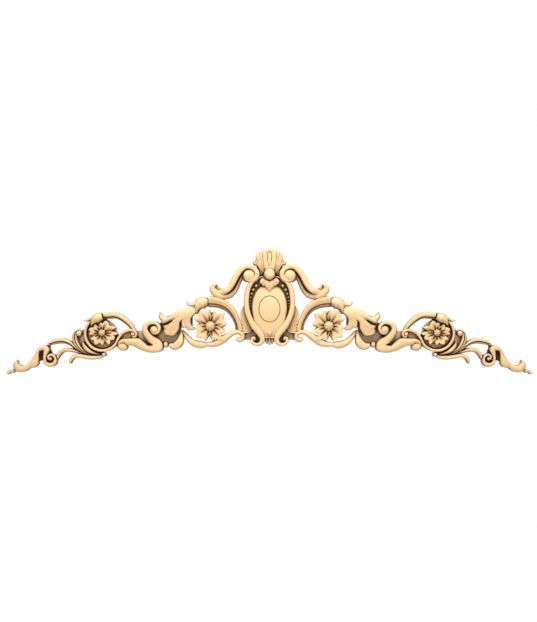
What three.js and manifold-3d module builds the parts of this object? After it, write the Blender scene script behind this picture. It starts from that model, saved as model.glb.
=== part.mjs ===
import * as THREE from 'three';
import { mergeVertices } from 'three/addons/utils/BufferGeometryUtils.js';
import Module from 'manifold-3d';

// A carved wooden pediment panel: scrolls, acanthus leaves and flowers around a shield.
// It is one piece of wood with a flat back. X runs along its length, Z is up and the
// relief rises from the back at y = 0 towards -Y. The origin is on the back, behind the
// middle of the oval medallion.

// Length of the panel from tip to tip, in millimetres.
const PANEL_LENGTH = 1000;

// The ornament is drawn on ruled squares: 525 of them make the length. Every [out, up]
// point below counts squares from the mirror line and from the medallion's middle.
const SQUARE_COUNT = 525;
const SQUARE = PANEL_LENGTH / SQUARE_COUNT;

// Heights of the relief above the flat back, in millimetres.
const GROUND = 5;
const TIP_BEAD_TOP = 12;
const END_LEAF_TOP = 14;
const END_SCROLL_TOP = 16;
const STEM_TOP = 15;
const FEATHER_TOP = 16;
const RING_TOP = 17;
const COVE_TOP = 10;
const PETAL_TOP = 18;
const OUTER_BOSS_TOP = 21;
const INNER_BOSS_TOP = 24;
const HUSK_TOP = 24;
const ARCH_TOP = 18;
const ARM_TOP = 20;
const SCROLL_TOP = 24;
const SCROLL_EYE_TOP = 26;
const LEAF_TOP = 22;
const LOBE_TOP = 18;
const BEAD_TOP = 21;
const UPPER_SCROLL_TOP = 25;
const LEAF_END_TOP = 19;
const BORDER_TOP = 24;
const CHANNEL_TOP = 14;
const SHIELD_EDGE_TOP = 22;
const SHIELD_TOP = 26;
const MEDALLION_TOP = 28;
const SHELL_TOP = 23;
const COLLAR_TOP = 28;
const PEARL_TOP = 30;
const FAN_TOP = 15;
const PENDANT_TOP = 18;

// Drop from the crown of a moulding or leaf to the top of its straight side.
const SHOULDER = 6;
const LEAF_SHOULDER = 4;

// The incised line round the medallion: width and depth in millimetres.
const LINE_WIDTH = 2;
const LINE_DEPTH = 1.2;

// Half width and half height of the oval medallion, in squares.
const MEDALLION_WIDE = 10.4;
const MEDALLION_HIGH = 12.9;

// How finely the curves are cut into flats: a moulding has a station at every LONG_STEP
// squares, and at every TURN_STEP degrees where it bends. Each curve is traced first by
// many close points.
const LONG_STEP = 18;
const TURN_STEP = 40;
const FEWEST_STEPS = 3;
const TRACE_POINTS = 240;

// Facets that lie this close to flat are joined, in millimetres.
const FLATNESS = 0.5;
const CIRCLE_SIDES = 10;
const MEDALLION_SIDES = 24;

const WOOD_COLOUR = 0xf4d2a0;
const WOOD_ROUGHNESS = 0.6;

const wasm = await Module();
wasm.setup();

// Cross sections of the mouldings: [across, share] from one edge (-1) to the other (1),
// where the share runs from the top of the straight side (0) to the crown (1).
const ROUND = [[-1, 0], [-0.5, 0.85], [0.5, 0.85], [1, 0]];
const FULL_ROUND = [[-1, 0], [-0.6, 0.75], [0, 1], [0.6, 0.75], [1, 0]];
const ROLL_AND_FILLET = [[-1, 0], [-0.4, 1], [0.2, 0.7], [0.4, -0.1], [0.6, 0.4], [1, 0]];
const TWO_ROLLS = [[-1, 0], [-0.5, 1], [0.05, 0.1], [0.5, 0.6], [1, -0.2]];
const VEINED = [[-1, 0], [-0.5, 1], [0, 0.3], [0.5, 1], [1, 0]];
const RIM_AND_BEVEL = [[-1, 0.2], [-0.6, 1], [0.1, 0.8], [1, -0.6]];

// A relief is a carved surface with straight sides down to the flat back. Points are
// [out, up, height], with the height in millimetres, and faces are triples of points.
function relief(points, faces) {
  const turn = ([a, b, c]) => {
    const [ax, az] = points[a];
    return (points[b][0] - ax) * (points[c][1] - az) - (points[c][0] - ax) * (points[b][1] - az);
  };
  const facesFront = faces.reduce((sum, face) => sum + turn(face), 0) > 0;
  const back = points.length;
  const triangles = [];
  const rim = new Map();
  for (const [a, second, third] of faces) {
    const [b, c] = facesFront ? [second, third] : [third, second];
    triangles.push(a, b, c, back + a, back + c, back + b);
    for (const [from, to] of [[a, b], [b, c], [c, a]]) {
      if (!rim.delete(`${to}>${from}`)) {
        rim.set(`${from}>${to}`, [from, to]);
      }
    }
  }
  for (const [from, to] of rim.values()) {
    triangles.push(from, back + from, back + to, from, back + to, to);
  }
  const front = points.flatMap(([out, up, height]) => [out * SQUARE, -height, up * SQUARE]);
  const rear = points.flatMap(([out, up]) => [out * SQUARE, 0, up * SQUARE]);
  return { vertices: [...front, ...rear], triangles };
}

function solid({ vertices, triangles }) {
  return new wasm.Manifold(new wasm.Mesh({
    numProp: 3,
    vertProperties: new Float32Array(vertices),
    triVerts: new Uint32Array(triangles),
  }));
}

function mirrored({ vertices, triangles }) {
  const flipped = [];
  for (let i = 0; i < triangles.length; i += 3) {
    flipped.push(triangles[i], triangles[i + 2], triangles[i + 1]);
  }
  return { vertices: vertices.map((value, i) => (i % 3 === 0 ? -value : value)), triangles: flipped };
}

// Rows of points joined into a surface.
function surface(rows) {
  const across = rows[0].length;
  const faces = [];
  for (let row = 0; row + 1 < rows.length; row += 1) {
    for (let i = 0; i + 1 < across; i += 1) {
      const a = row * across + i;
      const b = a + across;
      faces.push([a, a + 1, b + 1], [a, b + 1, b]);
    }
  }
  return relief(rows.flat(), faces);
}

// Height at a share of the way along a moulding, from one value or an even list of them.
function along(values, share) {
  const list = [values].flat();
  const place = share * (list.length - 1);
  const before = Math.floor(place);
  const after = Math.min(before + 1, list.length - 1);
  return list[before] + (list[after] - list[before]) * (place - before);
}

function spline(points) {
  const path = points.map(([out, up, half = 0]) => new THREE.Vector3(out, up, half));
  return new THREE.CatmullRomCurve3(path, false, 'centripetal');
}

// Stations along a spine, closer where it bends: the point, its heading and its share.
function stationsOn(spine) {
  const curve = spline(spine);
  const trace = curve.getSpacedPoints(TRACE_POINTS);
  const step = curve.getLength() / TRACE_POINTS;
  const headings = trace.map((here, i) => {
    const before = trace[Math.max(i - 1, 0)];
    const after = trace[Math.min(i + 1, TRACE_POINTS)];
    return new THREE.Vector2(after.x - before.x, after.y - before.y).normalize();
  });
  const effort = [0];
  for (let i = 1; i <= TRACE_POINTS; i += 1) {
    const turn = THREE.MathUtils.radToDeg(Math.abs(headings[i - 1].cross(headings[i])));
    effort.push(effort[i - 1] + turn / TURN_STEP + step / LONG_STEP);
  }
  const whole = effort[TRACE_POINTS];
  const count = Math.max(FEWEST_STEPS, Math.round(whole));
  return Array.from({ length: count + 1 }, (unused, i) => {
    const place = i === count ? TRACE_POINTS : effort.findIndex((value) => value >= (whole * i) / count);
    return { here: trace[place], heading: headings[place], share: place / TRACE_POINTS };
  });
}

// A moulding that follows a spine of [out, up, half width] points.
function band({ spine, top, shoulder = SHOULDER, section = ROUND }) {
  const rows = stationsOn(spine).map(({ here, heading, share: travelled }) => {
    const crown = along(top, travelled);
    return section.map(([across, share]) => [
      here.x - heading.y * here.z * across,
      here.y + heading.x * here.z * across,
      crown - shoulder * (1 - share),
    ]);
  });
  return surface(rows);
}

// A surface between two drawn edges.
function between({ left, right, rows, top, shoulder = SHOULDER, section = ROUND }) {
  const starts = spline(left).getSpacedPoints(rows);
  const ends = spline(right).getSpacedPoints(rows);
  return surface(starts.map((start, row) => {
    const crown = along(top, row / rows);
    return section.map(([across, share]) => {
      const point = start.clone().lerp(ends[row], (across + 1) / 2);
      return [point.x, point.y, crown - shoulder * (1 - share)];
    });
  }));
}

// Points on a spiral round a centre, from [angle, radius, half width] stations.
function coil([out, up], stations) {
  return stations.map(([angle, radius, half]) => {
    const turn = THREE.MathUtils.degToRad(angle);
    return [out + radius * Math.cos(turn), up + radius * Math.sin(turn), half];
  });
}

// A surface of rays from a centre: each ray is an angle and its [radius, height] steps.
function rayed({ centre: [out, up], middle, rays, closed = false }) {
  const steps = rays[0].steps.length;
  const points = [[out, up, middle]];
  for (const { angle, steps: ray } of rays) {
    const turn = THREE.MathUtils.degToRad(angle);
    for (const [radius, height] of ray) {
      points.push([out + radius * Math.cos(turn), up + radius * Math.sin(turn), height]);
    }
  }
  const faces = [];
  for (let i = 0; i < rays.length - (closed ? 0 : 1); i += 1) {
    const here = 1 + i * steps;
    const next = 1 + ((i + 1) % rays.length) * steps;
    faces.push([0, here, next]);
    for (let step = 0; step + 1 < steps; step += 1) {
      const a = here + step;
      const b = next + step;
      faces.push([a, a + 1, b + 1], [a, b + 1, b]);
    }
  }
  return relief(points, faces);
}

// Rays from a centre to the points of a rim, with [share, height] steps along each.
function raysTo([out, up], rim, profile) {
  return rim.map(([rimOut, rimUp], i) => {
    const radius = Math.hypot(rimOut - out, rimUp - up);
    return {
      angle: THREE.MathUtils.radToDeg(Math.atan2(rimUp - up, rimOut - out)),
      steps: profile(i, radius).map(([share, height]) => [radius * share, height]),
    };
  });
}

function opposite(points) {
  return points.map(([out, up]) => [-out, up]);
}

// A half ball or half egg on a straight side.
function dome({ at, wide, high = wide, top, shoulder = SHOULDER, sides = CIRCLE_SIDES }) {
  const rings = [[0.62, 0.78], [1, 0]];
  const rays = Array.from({ length: sides }, (unused, i) => {
    const turn = (i / sides) * 2 * Math.PI;
    const reach = Math.hypot(wide * Math.cos(turn), high * Math.sin(turn));
    const angle = THREE.MathUtils.radToDeg(Math.atan2(high * Math.sin(turn), wide * Math.cos(turn)));
    return { angle, steps: rings.map(([share, rise]) => [reach * share, top - shoulder * (1 - rise)]) };
  });
  return rayed({ centre: at, middle: top, rays, closed: true });
}

// A flat plate of the low ground behind the ornament.
function plate(outline, height = GROUND) {
  const contour = outline.map(([out, up]) => new THREE.Vector2(out, up));
  const faces = THREE.ShapeUtils.triangulateShape(contour, []);
  return relief(outline.map(([out, up]) => [out, up, height]), faces);
}

// A flower of four petals. Its outline is [angle, radius] points: tip, cleft, tip, cleft,
// tip and notch of each petal. A gouge is cut down each tip and ridges stay between them.
const GOUGE = [-2.8, -0.5];
const RIDGE = [-1, -0.8];
const NOTCH = [-0.8, -5.5];
const PETAL_DROPS = [GOUGE, RIDGE, GOUGE, RIDGE, GOUGE, NOTCH];
const PETAL_SHARES = [0.58, 1];
const HEART_DROP = 5;

function flower({ centre, outline, top, heartRadius, heartTop }) {
  const rays = outline.map(([angle, radius], i) => {
    const drops = PETAL_DROPS[i % PETAL_DROPS.length];
    return { angle, steps: PETAL_SHARES.map((share, step) => [radius * share, top + drops[step]]) };
  });
  return [
    rayed({ centre, middle: top - HEART_DROP, rays, closed: true }),
    dome({ at: centre, wide: heartRadius, top: heartTop, sides: 8 }),
  ];
}

// The end of the panel: two turned beads, a folded leaf and a small scroll.
function endCurl() {
  const scroll = [218.3, -49.6];
  return [
    dome({ at: [261, -63.5], wide: 1.9, top: TIP_BEAD_TOP, sides: 8 }),
    dome({ at: [256.6, -62.1], wide: 1.9, top: TIP_BEAD_TOP, sides: 8 }),
    band({ spine: [[261, -63.5, 1], [251.5, -60, 1.3]], top: TIP_BEAD_TOP - 3 }),
    between({
      left: [[251.5, -49.8], [254, -51], [255.7, -53.5], [256.2, -56], [255.8, -59.2], [253.5, -62.3],
        [249.5, -63.3], [244.5, -62.7], [241.5, -61], [238.5, -59], [235.5, -58.7], [233, -57.8],
        [231, -55.3], [230.2, -52], [229.4, -41]],
      right: [[250.8, -50.2], [250.9, -53], [250.3, -55], [249, -56.2], [247, -56.6], [244.5, -56],
        [241.5, -54.5], [239.5, -53], [238.2, -51], [237, -49], [235, -46], [232.5, -42], [230.5, -39],
        [229, -38], [227.5, -36.8]],
      rows: 14,
      top: [END_LEAF_TOP - 3, END_LEAF_TOP, END_LEAF_TOP, END_LEAF_TOP],
    }),
    band({
      spine: [[229.6, -40.4, 1.8], [226, -38.9, 2.7], [222.7, -40.3, 3.3], [223.8, -45, 2.5],
        ...coil(scroll, [[0, 6, 1.75], [-45, 6.4, 2], [-90, 6.1, 2.2], [-135, 5.6, 2], [-180, 4.7, 1.4],
          [-225, 4.2, 1.3], [-270, 3.9, 1.3], [-315, 3.1, 1.5], [-350, 2, 1.3]])],
      top: [END_LEAF_TOP, END_SCROLL_TOP],
    }),
    dome({ at: scroll, wide: 2.1, top: END_SCROLL_TOP, sides: 8 }),
    dome({ at: scroll, wide: 4.6, top: COVE_TOP - 2, shoulder: 2 }),
    plate([[229, -40], [221.5, -36], [219.6, -36], [219.6, -39], [217, -46], [224, -48], [226.5, -52],
      [229.5, -52]]),
    plate([[215, -45.5], [211, -46.5], [210.3, -49], [213, -52]]),
    dome({ at: [220.2, -35], wide: 1.9, top: TIP_BEAD_TOP }),
  ];
}

// The long stems and feathers between the end scroll and the outer flower.
function stems() {
  return [
    band({
      spine: [[219, -34.3, 1.9], [214.5, -32.7, 2.6], [209.5, -31.8, 2.8], [204.5, -32.1, 2.7],
        [199.5, -34, 2.3], [195.5, -37, 1.9], [190.5, -42, 1.4]],
      top: STEM_TOP,
      section: TWO_ROLLS,
    }),
    band({
      spine: [[211.2, -49.2, 0.8], [210.5, -45.8, 1.9], [208, -42.6, 2.1], [204, -41, 2], [199.5, -41, 1.9],
        [193.5, -42.5, 1.5], [187.5, -44.5, 1.2]],
      top: [END_LEAF_TOP, STEM_TOP, GROUND + 4],
    }),
    band({
      spine: [[199, -54.4, 0.9], [198.2, -50.8, 1.7], [195.7, -47.8, 1.9], [191, -46.6, 1.9],
        [183.5, -47.9, 2.1], [176, -48.5, 2], [170, -48, 1.6], [166.5, -46.6, 1]],
      top: STEM_TOP,
    }),
    dome({ at: [165.2, -45.4], wide: 2.2, top: BEAD_TOP - 4, sides: 8 }),
    band({
      spine: [[189.5, -21, 0.9], [193, -22.9, 1.6], [194.3, -26.8, 2.5], [194, -31, 2.8], [191.8, -36, 2.5],
        [188, -40.5, 1.9], [182.5, -44, 1.4], [177.5, -45.8, 0.9]],
      top: [FEATHER_TOP, FEATHER_TOP, GROUND + 6],
      section: TWO_ROLLS,
    }),
    dome({ at: [190, -24.3], wide: 3, top: FEATHER_TOP + 2 }),
    band({
      spine: [[186, -33, 0.8], [185, -36.5, 1.9], [181.5, -40.5, 2.2], [176.5, -43.3, 1.7],
        [169.5, -45.2, 1]],
      top: [FEATHER_TOP - 2, FEATHER_TOP, GROUND + 6],
    }),
    plate([[193, -28], [189, -22], [182, -18], [176, -34], [166, -42], [168, -48], [180, -46.5], [190, -46],
      [198, -38]]),
  ];
}

// The ring round the outer flower, which runs on into a small scroll beside the arm.
function ring() {
  const centre = [166.7, -24.5];
  const eye = [136.1, -25.1];
  const arc = [47, 25, 0, -25, -50, -75, -100, -122, -140].map((angle) => [angle, 16.9, 1.4]);
  const groundAngles = [100, 70, 40, 10, -20, -50, -80, -110, -140, -172];
  return [
    band({
      spine: [...coil(centre, arc), [150.2, -28.8, 1.5], [146.7, -24.3, 1.5], [142.5, -21.9, 1.5],
        [138, -21, 1.5], [134.2, -22.3, 1.4], [132.7, -25.2, 1.4], [134.2, -27.9, 1.2], [136.7, -27.8, 1]],
      top: RING_TOP,
      shoulder: 4,
    }),
    plate(coil(centre, groundAngles.map((angle) => [angle, 16]))),
    dome({ at: centre, wide: 14.2, top: COVE_TOP, shoulder: 1, sides: 12 }),
    plate([[153, -37], [149, -28], [143.5, -23], [138.5, -21.5], [134, -23], [133, -28], [141, -31],
      [147, -34], [150, -40]], COVE_TOP),
    dome({ at: eye, wide: 2.5, top: RING_TOP + 1, sides: 8 }),
  ];
}

function outerFlower() {
  return flower({
    centre: [167, -23.7],
    outline: [[83, 9.8], [95, 9.2], [111, 12.7], [138, 10.3], [160, 14.9], [169, 10.5],
      [183, 15.8], [192.5, 12.1], [205, 14], [220.7, 11.2], [238, 13.7], [251.6, 9.8],
      [267, 12], [278.7, 9.9], [300, 13.3], [315.8, 10.5], [329, 12.3], [341.7, 10.2],
      [354, 12.3], [363.7, 10.7], [376.5, 13], [397.2, 9.4], [412, 10.6], [423.7, 8.6]],
    top: PETAL_TOP,
    heartRadius: 3.7,
    heartTop: OUTER_BOSS_TOP,
  });
}

// A husk whose sepals part at its mouth, where the stem of an arch comes out.
function husk({ body, curl, neck }) {
  return [
    band({ spine: body, top: [HUSK_TOP - 3, HUSK_TOP, HUSK_TOP - 2, LOBE_TOP], section: FULL_ROUND,
      shoulder: 12 }),
    band({ spine: curl, top: [HUSK_TOP - 3, LOBE_TOP, LOBE_TOP - 3] }),
    band({ spine: neck, top: GROUND + 1, shoulder: 2 }),
  ];
}

// The outer husk and the arch that springs from it over the outer flower.
function outerArch() {
  return [
    ...husk({
      body: [[166.4, -7.3, 3.8], [170.5, -8.8, 4.8], [173.5, -10.2, 4.6], [175.7, -12.7, 3.2],
        [177.6, -16.8, 0.6]],
      curl: [[174.5, -8.2, 2], [178.5, -10, 1.5], [182, -11.6, 1.1], [185.6, -11.4, 0.4]],
      neck: [[169, -7.5, 3], [163, -6.8, 3]],
    }),
    band({
      spine: [[165.3, -6.7, 3.2], [160.5, -6.6, 3.4], [155, -6.3, 3.2], [150.3, -7.4, 3.1], [146.3, -9.6, 3],
        [141.9, -13, 2.7], [138.5, -16.7, 2.4], [136, -19.9, 2], [134.3, -22.3, 1.5], [133.2, -24.6, 0.9]],
      top: [ARCH_TOP, ARCH_TOP, ARCH_TOP, RING_TOP - 2],
      section: ROLL_AND_FILLET,
    }),
  ];
}

// The leaf arm under the ring, and the big S scroll that it turns into.
function armAndScroll() {
  const eye = [115.7, -19.7];
  const bend = [112, -37];
  const bendRim = [[113.5, -27.5], [109.5, -30.2], [106.9, -33.3], [105.6, -37.5], [106.7, -41.2],
    [109.5, -42.8], [114.5, -43.4], [119.5, -42.7], [124.5, -41.2], [123.5, -36.6], [117.8, -36.4],
    [116.2, -35], [118, -33.9], [121, -31.6], [118.3, -28]];
  return [
    dome({ at: [146.3, -37.7], wide: 5, high: 4.1, top: ARM_TOP }),
    plate([[149.5, -36.5], [146, -33.5], [141.5, -33.5], [142.5, -37], [146, -39]], COVE_TOP),
    band({
      spine: [[150.2, -36.6, 0.9], [149, -33.7, 1.8], [145.5, -32, 2.4], [141.5, -32.8, 3.4],
        [136.5, -33, 3.8], [131.5, -34, 4.8], [126.5, -37, 4.3], [121.5, -39.6, 3.3],
        [115.5, -40.2, 3.4], [112, -40, 3]],
      top: [RING_TOP, ARM_TOP, ARM_TOP, SCROLL_TOP - 2, SCROLL_TOP - 3],
      section: RIM_AND_BEVEL,
    }),
    rayed({
      centre: bend,
      middle: SCROLL_TOP - 2,
      rays: raysTo(bend, bendRim, () => [[0.8, SCROLL_TOP - 2.4], [1, SCROLL_TOP - 7.5]]),
      closed: true,
    }),
    band({
      spine: [[110, -37, 3], [112.2, -34.8, 3.6], [117, -30.3, 4.2], [121.3, -25.6, 3.6],
        [123.6, -20.7, 3.05], [122.3, -16.2, 2.7], [117.5, -13.8, 2], [112.3, -14.6, 1.8], [109.5, -18.6, 2],
        [110.6, -22.8, 1.7], [113.7, -24.3, 1.4], [116.5, -23.2, 1.4]],
      top: [SCROLL_TOP - 3, SCROLL_TOP, SCROLL_TOP, SCROLL_TOP],
    }),
    dome({ at: eye, wide: 3.7, top: SCROLL_EYE_TOP }),
    dome({ at: eye, wide: 6.5, top: CHANNEL_TOP, shoulder: 2, sides: 12 }),
    plate([[132.5, -22], [126, -21.5], [122, -28], [115, -37], [121, -38.5], [129, -34], [134, -28]]),
    plate([[112, -24], [109, -13], [104, -14], [97, -24], [90, -24], [90, -31], [95, -35.5], [103.5, -35.5],
      [110, -34], [115, -28]]),
    plate([[118, -30], [113, -22], [108, -24], [110, -32]]),
    dome({ at: [103.3, -35.6], wide: 2.4, high: 2.9, top: BEAD_TOP }),
  ];
}

// The acanthus leaf: an upturned upper lobe and two lobes that hang from the same root.
function acanthus() {
  return [
    plate([[74, 0], [90, -2], [104, -8], [107, -17], [105, -31], [91, -31], [88, -18], [85.5, -18],
      [77, -20], [77, -8]], GROUND + 2),
    between({
      left: [[72.5, 2], [79.5, 1], [82.5, 1.2], [85.5, 0.8], [89.5, -0.8], [94.5, -3.5], [98.5, -6.3],
        [101.5, -7.8], [105, -7], [107.5, -5], [109.2, -3]],
      right: [[75.5, -6.5], [84.5, -10], [91, -11.4], [98.5, -11.7], [101.5, -13.3], [105.5, -14.5],
        [107.3, -14.6], [107.7, -12], [109.5, -10], [110.3, -7], [109.8, -3.3]],
      rows: 10,
      top: [LEAF_TOP - 2, LEAF_TOP, LEAF_TOP + 1, LEAF_TOP - 2],
    }),
    between({
      left: [[79.5, -1], [87.5, -4.6], [94, -8.6], [97.2, -12.2], [101.3, -15.2], [106, -16.8],
        [105.7, -18.5], [104.5, -19.5], [105.7, -21.5], [104, -25.3], [101, -25.8], [99.2, -25]],
      right: [[77.5, -6], [83.5, -9.2], [87.7, -11.7], [89.2, -13.5], [89.5, -16], [90, -19.5], [91, -21.5],
        [92, -23], [94, -25.8], [96, -26.7], [98, -26], [98.9, -25.2]],
      rows: 11,
      top: [LEAF_TOP - 1, LEAF_TOP, LEAF_TOP - 2, LOBE_TOP - 1],
      shoulder: LEAF_SHOULDER,
      section: VEINED,
    }),
    between({
      left: [[75, -1], [84, -7], [87, -10.6], [87.6, -14], [87.2, -17], [86.2, -19.3], [84.2, -18.2],
        [82, -20.3], [79.5, -21.3], [76.5, -20.8], [74.3, -19.3]],
      right: [[72.5, -2], [74, -4.8], [75.5, -5.8], [76.5, -7], [77.5, -8.5], [78.3, -10], [78.5, -11.5],
        [78, -15], [77.4, -16.3], [76.5, -17.5], [74.5, -19]],
      rows: 10,
      top: [LEAF_TOP - 1, LEAF_TOP, LEAF_TOP - 2, LOBE_TOP - 2],
      shoulder: LEAF_SHOULDER,
      section: VEINED,
    }),
  ];
}

// The rounded lobe and the two bands that run under the inner flower to the hooked curl.
function lowerBands() {
  return [
    band({
      spine: [[99.7, -35.5, 1.6], [97, -37, 3.2], [93.5, -36.8, 3.9], [90, -33.7, 3.9], [88.5, -29.3, 3.1],
        [87.9, -25, 2], [87.9, -21, 0.6]],
      top: [LOBE_TOP, LOBE_TOP, GROUND + 6],
    }),
    band({
      spine: [[87.7, -21, 0.6], [85.2, -24, 1.6], [81.7, -28.8, 2.4], [77.5, -32.9, 3], [72, -35.3, 3.5],
        [67, -35.8, 3.5], [62.6, -35.6, 1.8]],
      top: [GROUND + 6, LOBE_TOP - 2, LOBE_TOP, LOBE_TOP],
    }),
    band({
      spine: [[64, -35.4, 1.7], [57.5, -35.2, 2.8], [52, -33.6, 3.6], [46.5, -30.3, 3.9], [41.5, -26.8, 3.2],
        [37, -24.2, 2.5], [32.5, -22.9, 2.4], [28.5, -23.8, 2.4], [26.4, -27, 2.1], [27.6, -29.9, 2.4],
        [30.3, -30.7, 2.3], [33.4, -29.4, 1.4]],
      top: [LOBE_TOP, LOBE_TOP, LOBE_TOP - 1],
    }),
  ];
}

function innerFlower() {
  return flower({
    centre: [59, -17],
    outline: [[23.5, 17.6], [36, 14.5], [55, 18.3], [73.7, 14.3], [85.8, 16.5], [98, 12.8],
      [103.6, 15.7], [113.7, 13.7], [136.7, 19], [155.6, 13.5], [174.4, 16.3], [187, 12.4],
      [201.1, 16.1], [215.6, 12.5], [230, 19.2], [250.7, 13], [260.7, 15.5], [276, 9.6],
      [287.7, 15.7], [298.9, 13.5], [320.6, 18.1], [341, 13.9], [355, 15], [372.8, 11.3]],
    top: PETAL_TOP + 1,
    heartRadius: 4.9,
    heartTop: INNER_BOSS_TOP,
  });
}

// The inner husk and the arch that springs from it over the inner flower.
function innerArch() {
  return [
    ...husk({
      body: [[61.6, 6.7, 4.2], [65, 6.8, 5.5], [69.5, 4.8, 6], [72, 0.8, 3.6], [72.5, -2.5, 2],
        [72.6, -5.2, 0.5]],
      curl: [[71.5, 5.5, 2.6], [75.5, 4.5, 2], [79, 4, 1.5], [81.5, 5.3, 1.1], [82.9, 7.7, 0.4]],
      neck: [[67, 6, 4.2], [59, 7, 4.2]],
    }),
    band({
      spine: [[60.7, 7.1, 5.3], [55.5, 7.1, 5.5], [48.5, 5.4, 5], [41.4, 1.5, 4.5], [36.5, -4.2, 3.9],
        [33.1, -10.9, 3.4], [31.1, -16.5, 3.5], [30.4, -21.8, 3.6]],
      top: [ARCH_TOP + 1, ARCH_TOP, ARCH_TOP - 2],
      section: ROLL_AND_FILLET,
    }),
  ];
}

// The upper scroll: a band rises out of a rolled leaf end and coils round its eye, and the
// leaf runs on as a cove under it.
function upperScroll() {
  const eye = [21.4, 34.2];
  return [
    band({
      spine: [[53, 15, 2.4], [50.2, 16, 3], [46.5, 17.2, 3.2], [42, 18.9, 2.9], [38.4, 22.4, 2.8],
        [35.2, 28, 2.9],
        [32.5, 33.5, 3], [28.8, 38.5, 3], [24, 41.7, 2.6], [19, 41.6, 2.4], [14.3, 39, 2.6],
        [12.2, 34.4, 2.75], [14.4, 29.9, 2.8], [18.6, 28.4, 2.2], [22.5, 29.5, 2], [25, 32.2, 1.5]],
      top: [LEAF_END_TOP, UPPER_SCROLL_TOP, UPPER_SCROLL_TOP, UPPER_SCROLL_TOP, UPPER_SCROLL_TOP,
        UPPER_SCROLL_TOP],
    }),
    band({
      spine: [[26.5, 34.5, 1.2], [29, 29.5, 1.9], [31.5, 23.8, 2.1], [34.7, 18.2, 2.4], [39.5, 14, 2.9],
        [44.5, 12.9, 3.4], [49.5, 13.7, 3.6], [54, 16.2, 3.7], [56.4, 20, 3.2], [55, 23.2, 2],
        [52.5, 24.4, 0.9]],
      top: [CHANNEL_TOP + 2, CHANNEL_TOP + 1, CHANNEL_TOP + 1, LEAF_END_TOP, LEAF_END_TOP + 2,
        LEAF_END_TOP + 4, LEAF_END_TOP + 4],
      shoulder: LEAF_SHOULDER,
      section: FULL_ROUND,
    }),
    plate([[53, 22], [55, 16], [48, 14], [42, 15], [46, 20]], CHANNEL_TOP + 2),
    plate([[45, 17], [38, 15.5], [32, 22], [27, 32], [30, 35], [37, 26]], COVE_TOP),
    dome({ at: eye, wide: 5.2, top: UPPER_SCROLL_TOP + 2 }),
    dome({ at: eye, wide: 8, high: 7.5, top: CHANNEL_TOP, shoulder: 2, sides: 12 }),
  ];
}

// The border of the shield, which ends below in a small inward coil, and its beads.
function shieldBorder() {
  const beads = [[13.2, 23.1, 2.1], [16.2, 19, 1.8], [17.9, 15, 1.5], [18.8, 11.4, 1.2], [19.2, 8.1, 1],
    [19.3, 5.2, 0.9], [19.2, 2.5, 0.8]];
  return [
    band({
      spine: [[13.5, 29.5, 1.6], [17.8, 26, 2.2], [21.3, 19.5, 2.6], [22.6, 11, 2.6], [22.7, 3.5, 2.7],
        [21.5, -4, 2.9], [18.8, -11, 3], [15, -17.5, 3.3], [10.5, -22.5, 3.6], [7.5, -27.5, 3.2],
        [7.2, -31.2, 2.6], [9.3, -34.4, 2], [12.8, -35.2, 1.6], [16, -34, 1.6], [17.6, -31, 1.6],
        [16.6, -28.8, 1.5], [14.4, -28.9, 1.6]],
      top: [BORDER_TOP, BORDER_TOP, BORDER_TOP, BORDER_TOP - 2],
    }),
    dome({ at: [15, -29.8], wide: 2, top: BORDER_TOP - 2, sides: 8 }),
    plate([[12, -22], [8, -28], [9, -35], [16, -34], [18, -31], [25, -31], [27, -18], [16, -14]]),
    ...beads.map(([out, up, radius]) => dome({ at: [out, up], wide: radius, top: BEAD_TOP, sides: 6 })),
  ];
}

// The ribbed fan that fills the corner between the border and the inner arch.
function sideFan() {
  const rim = [[71, 28], [60, 24.5], [50, 20], [40, 14.5], [27, 12], [12, 10.8], [-7, 9]];
  const rays = rim.flatMap(([angle, radius], i) => {
    const ridge = { angle, steps: [[radius * 0.5, FAN_TOP - 1], [radius, FAN_TOP]] };
    if (i + 1 === rim.length) {
      return [ridge];
    }
    const [nextAngle, nextRadius] = rim[i + 1];
    const between = 0.48 * (radius + nextRadius);
    const furrow = [[between * 0.5, FAN_TOP - 2], [between, FAN_TOP - 1.2]];
    return [ridge, { angle: (angle + nextAngle) / 2, steps: furrow }];
  });
  return [rayed({ centre: [16.5, -23], middle: FAN_TOP - 2, rays })];
}

// How far the medallion's oval reaches from its middle in a direction.
function medallionReach(angle) {
  return 1 / Math.hypot(Math.cos(angle) / MEDALLION_WIDE, Math.sin(angle) / MEDALLION_HIGH);
}

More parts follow.
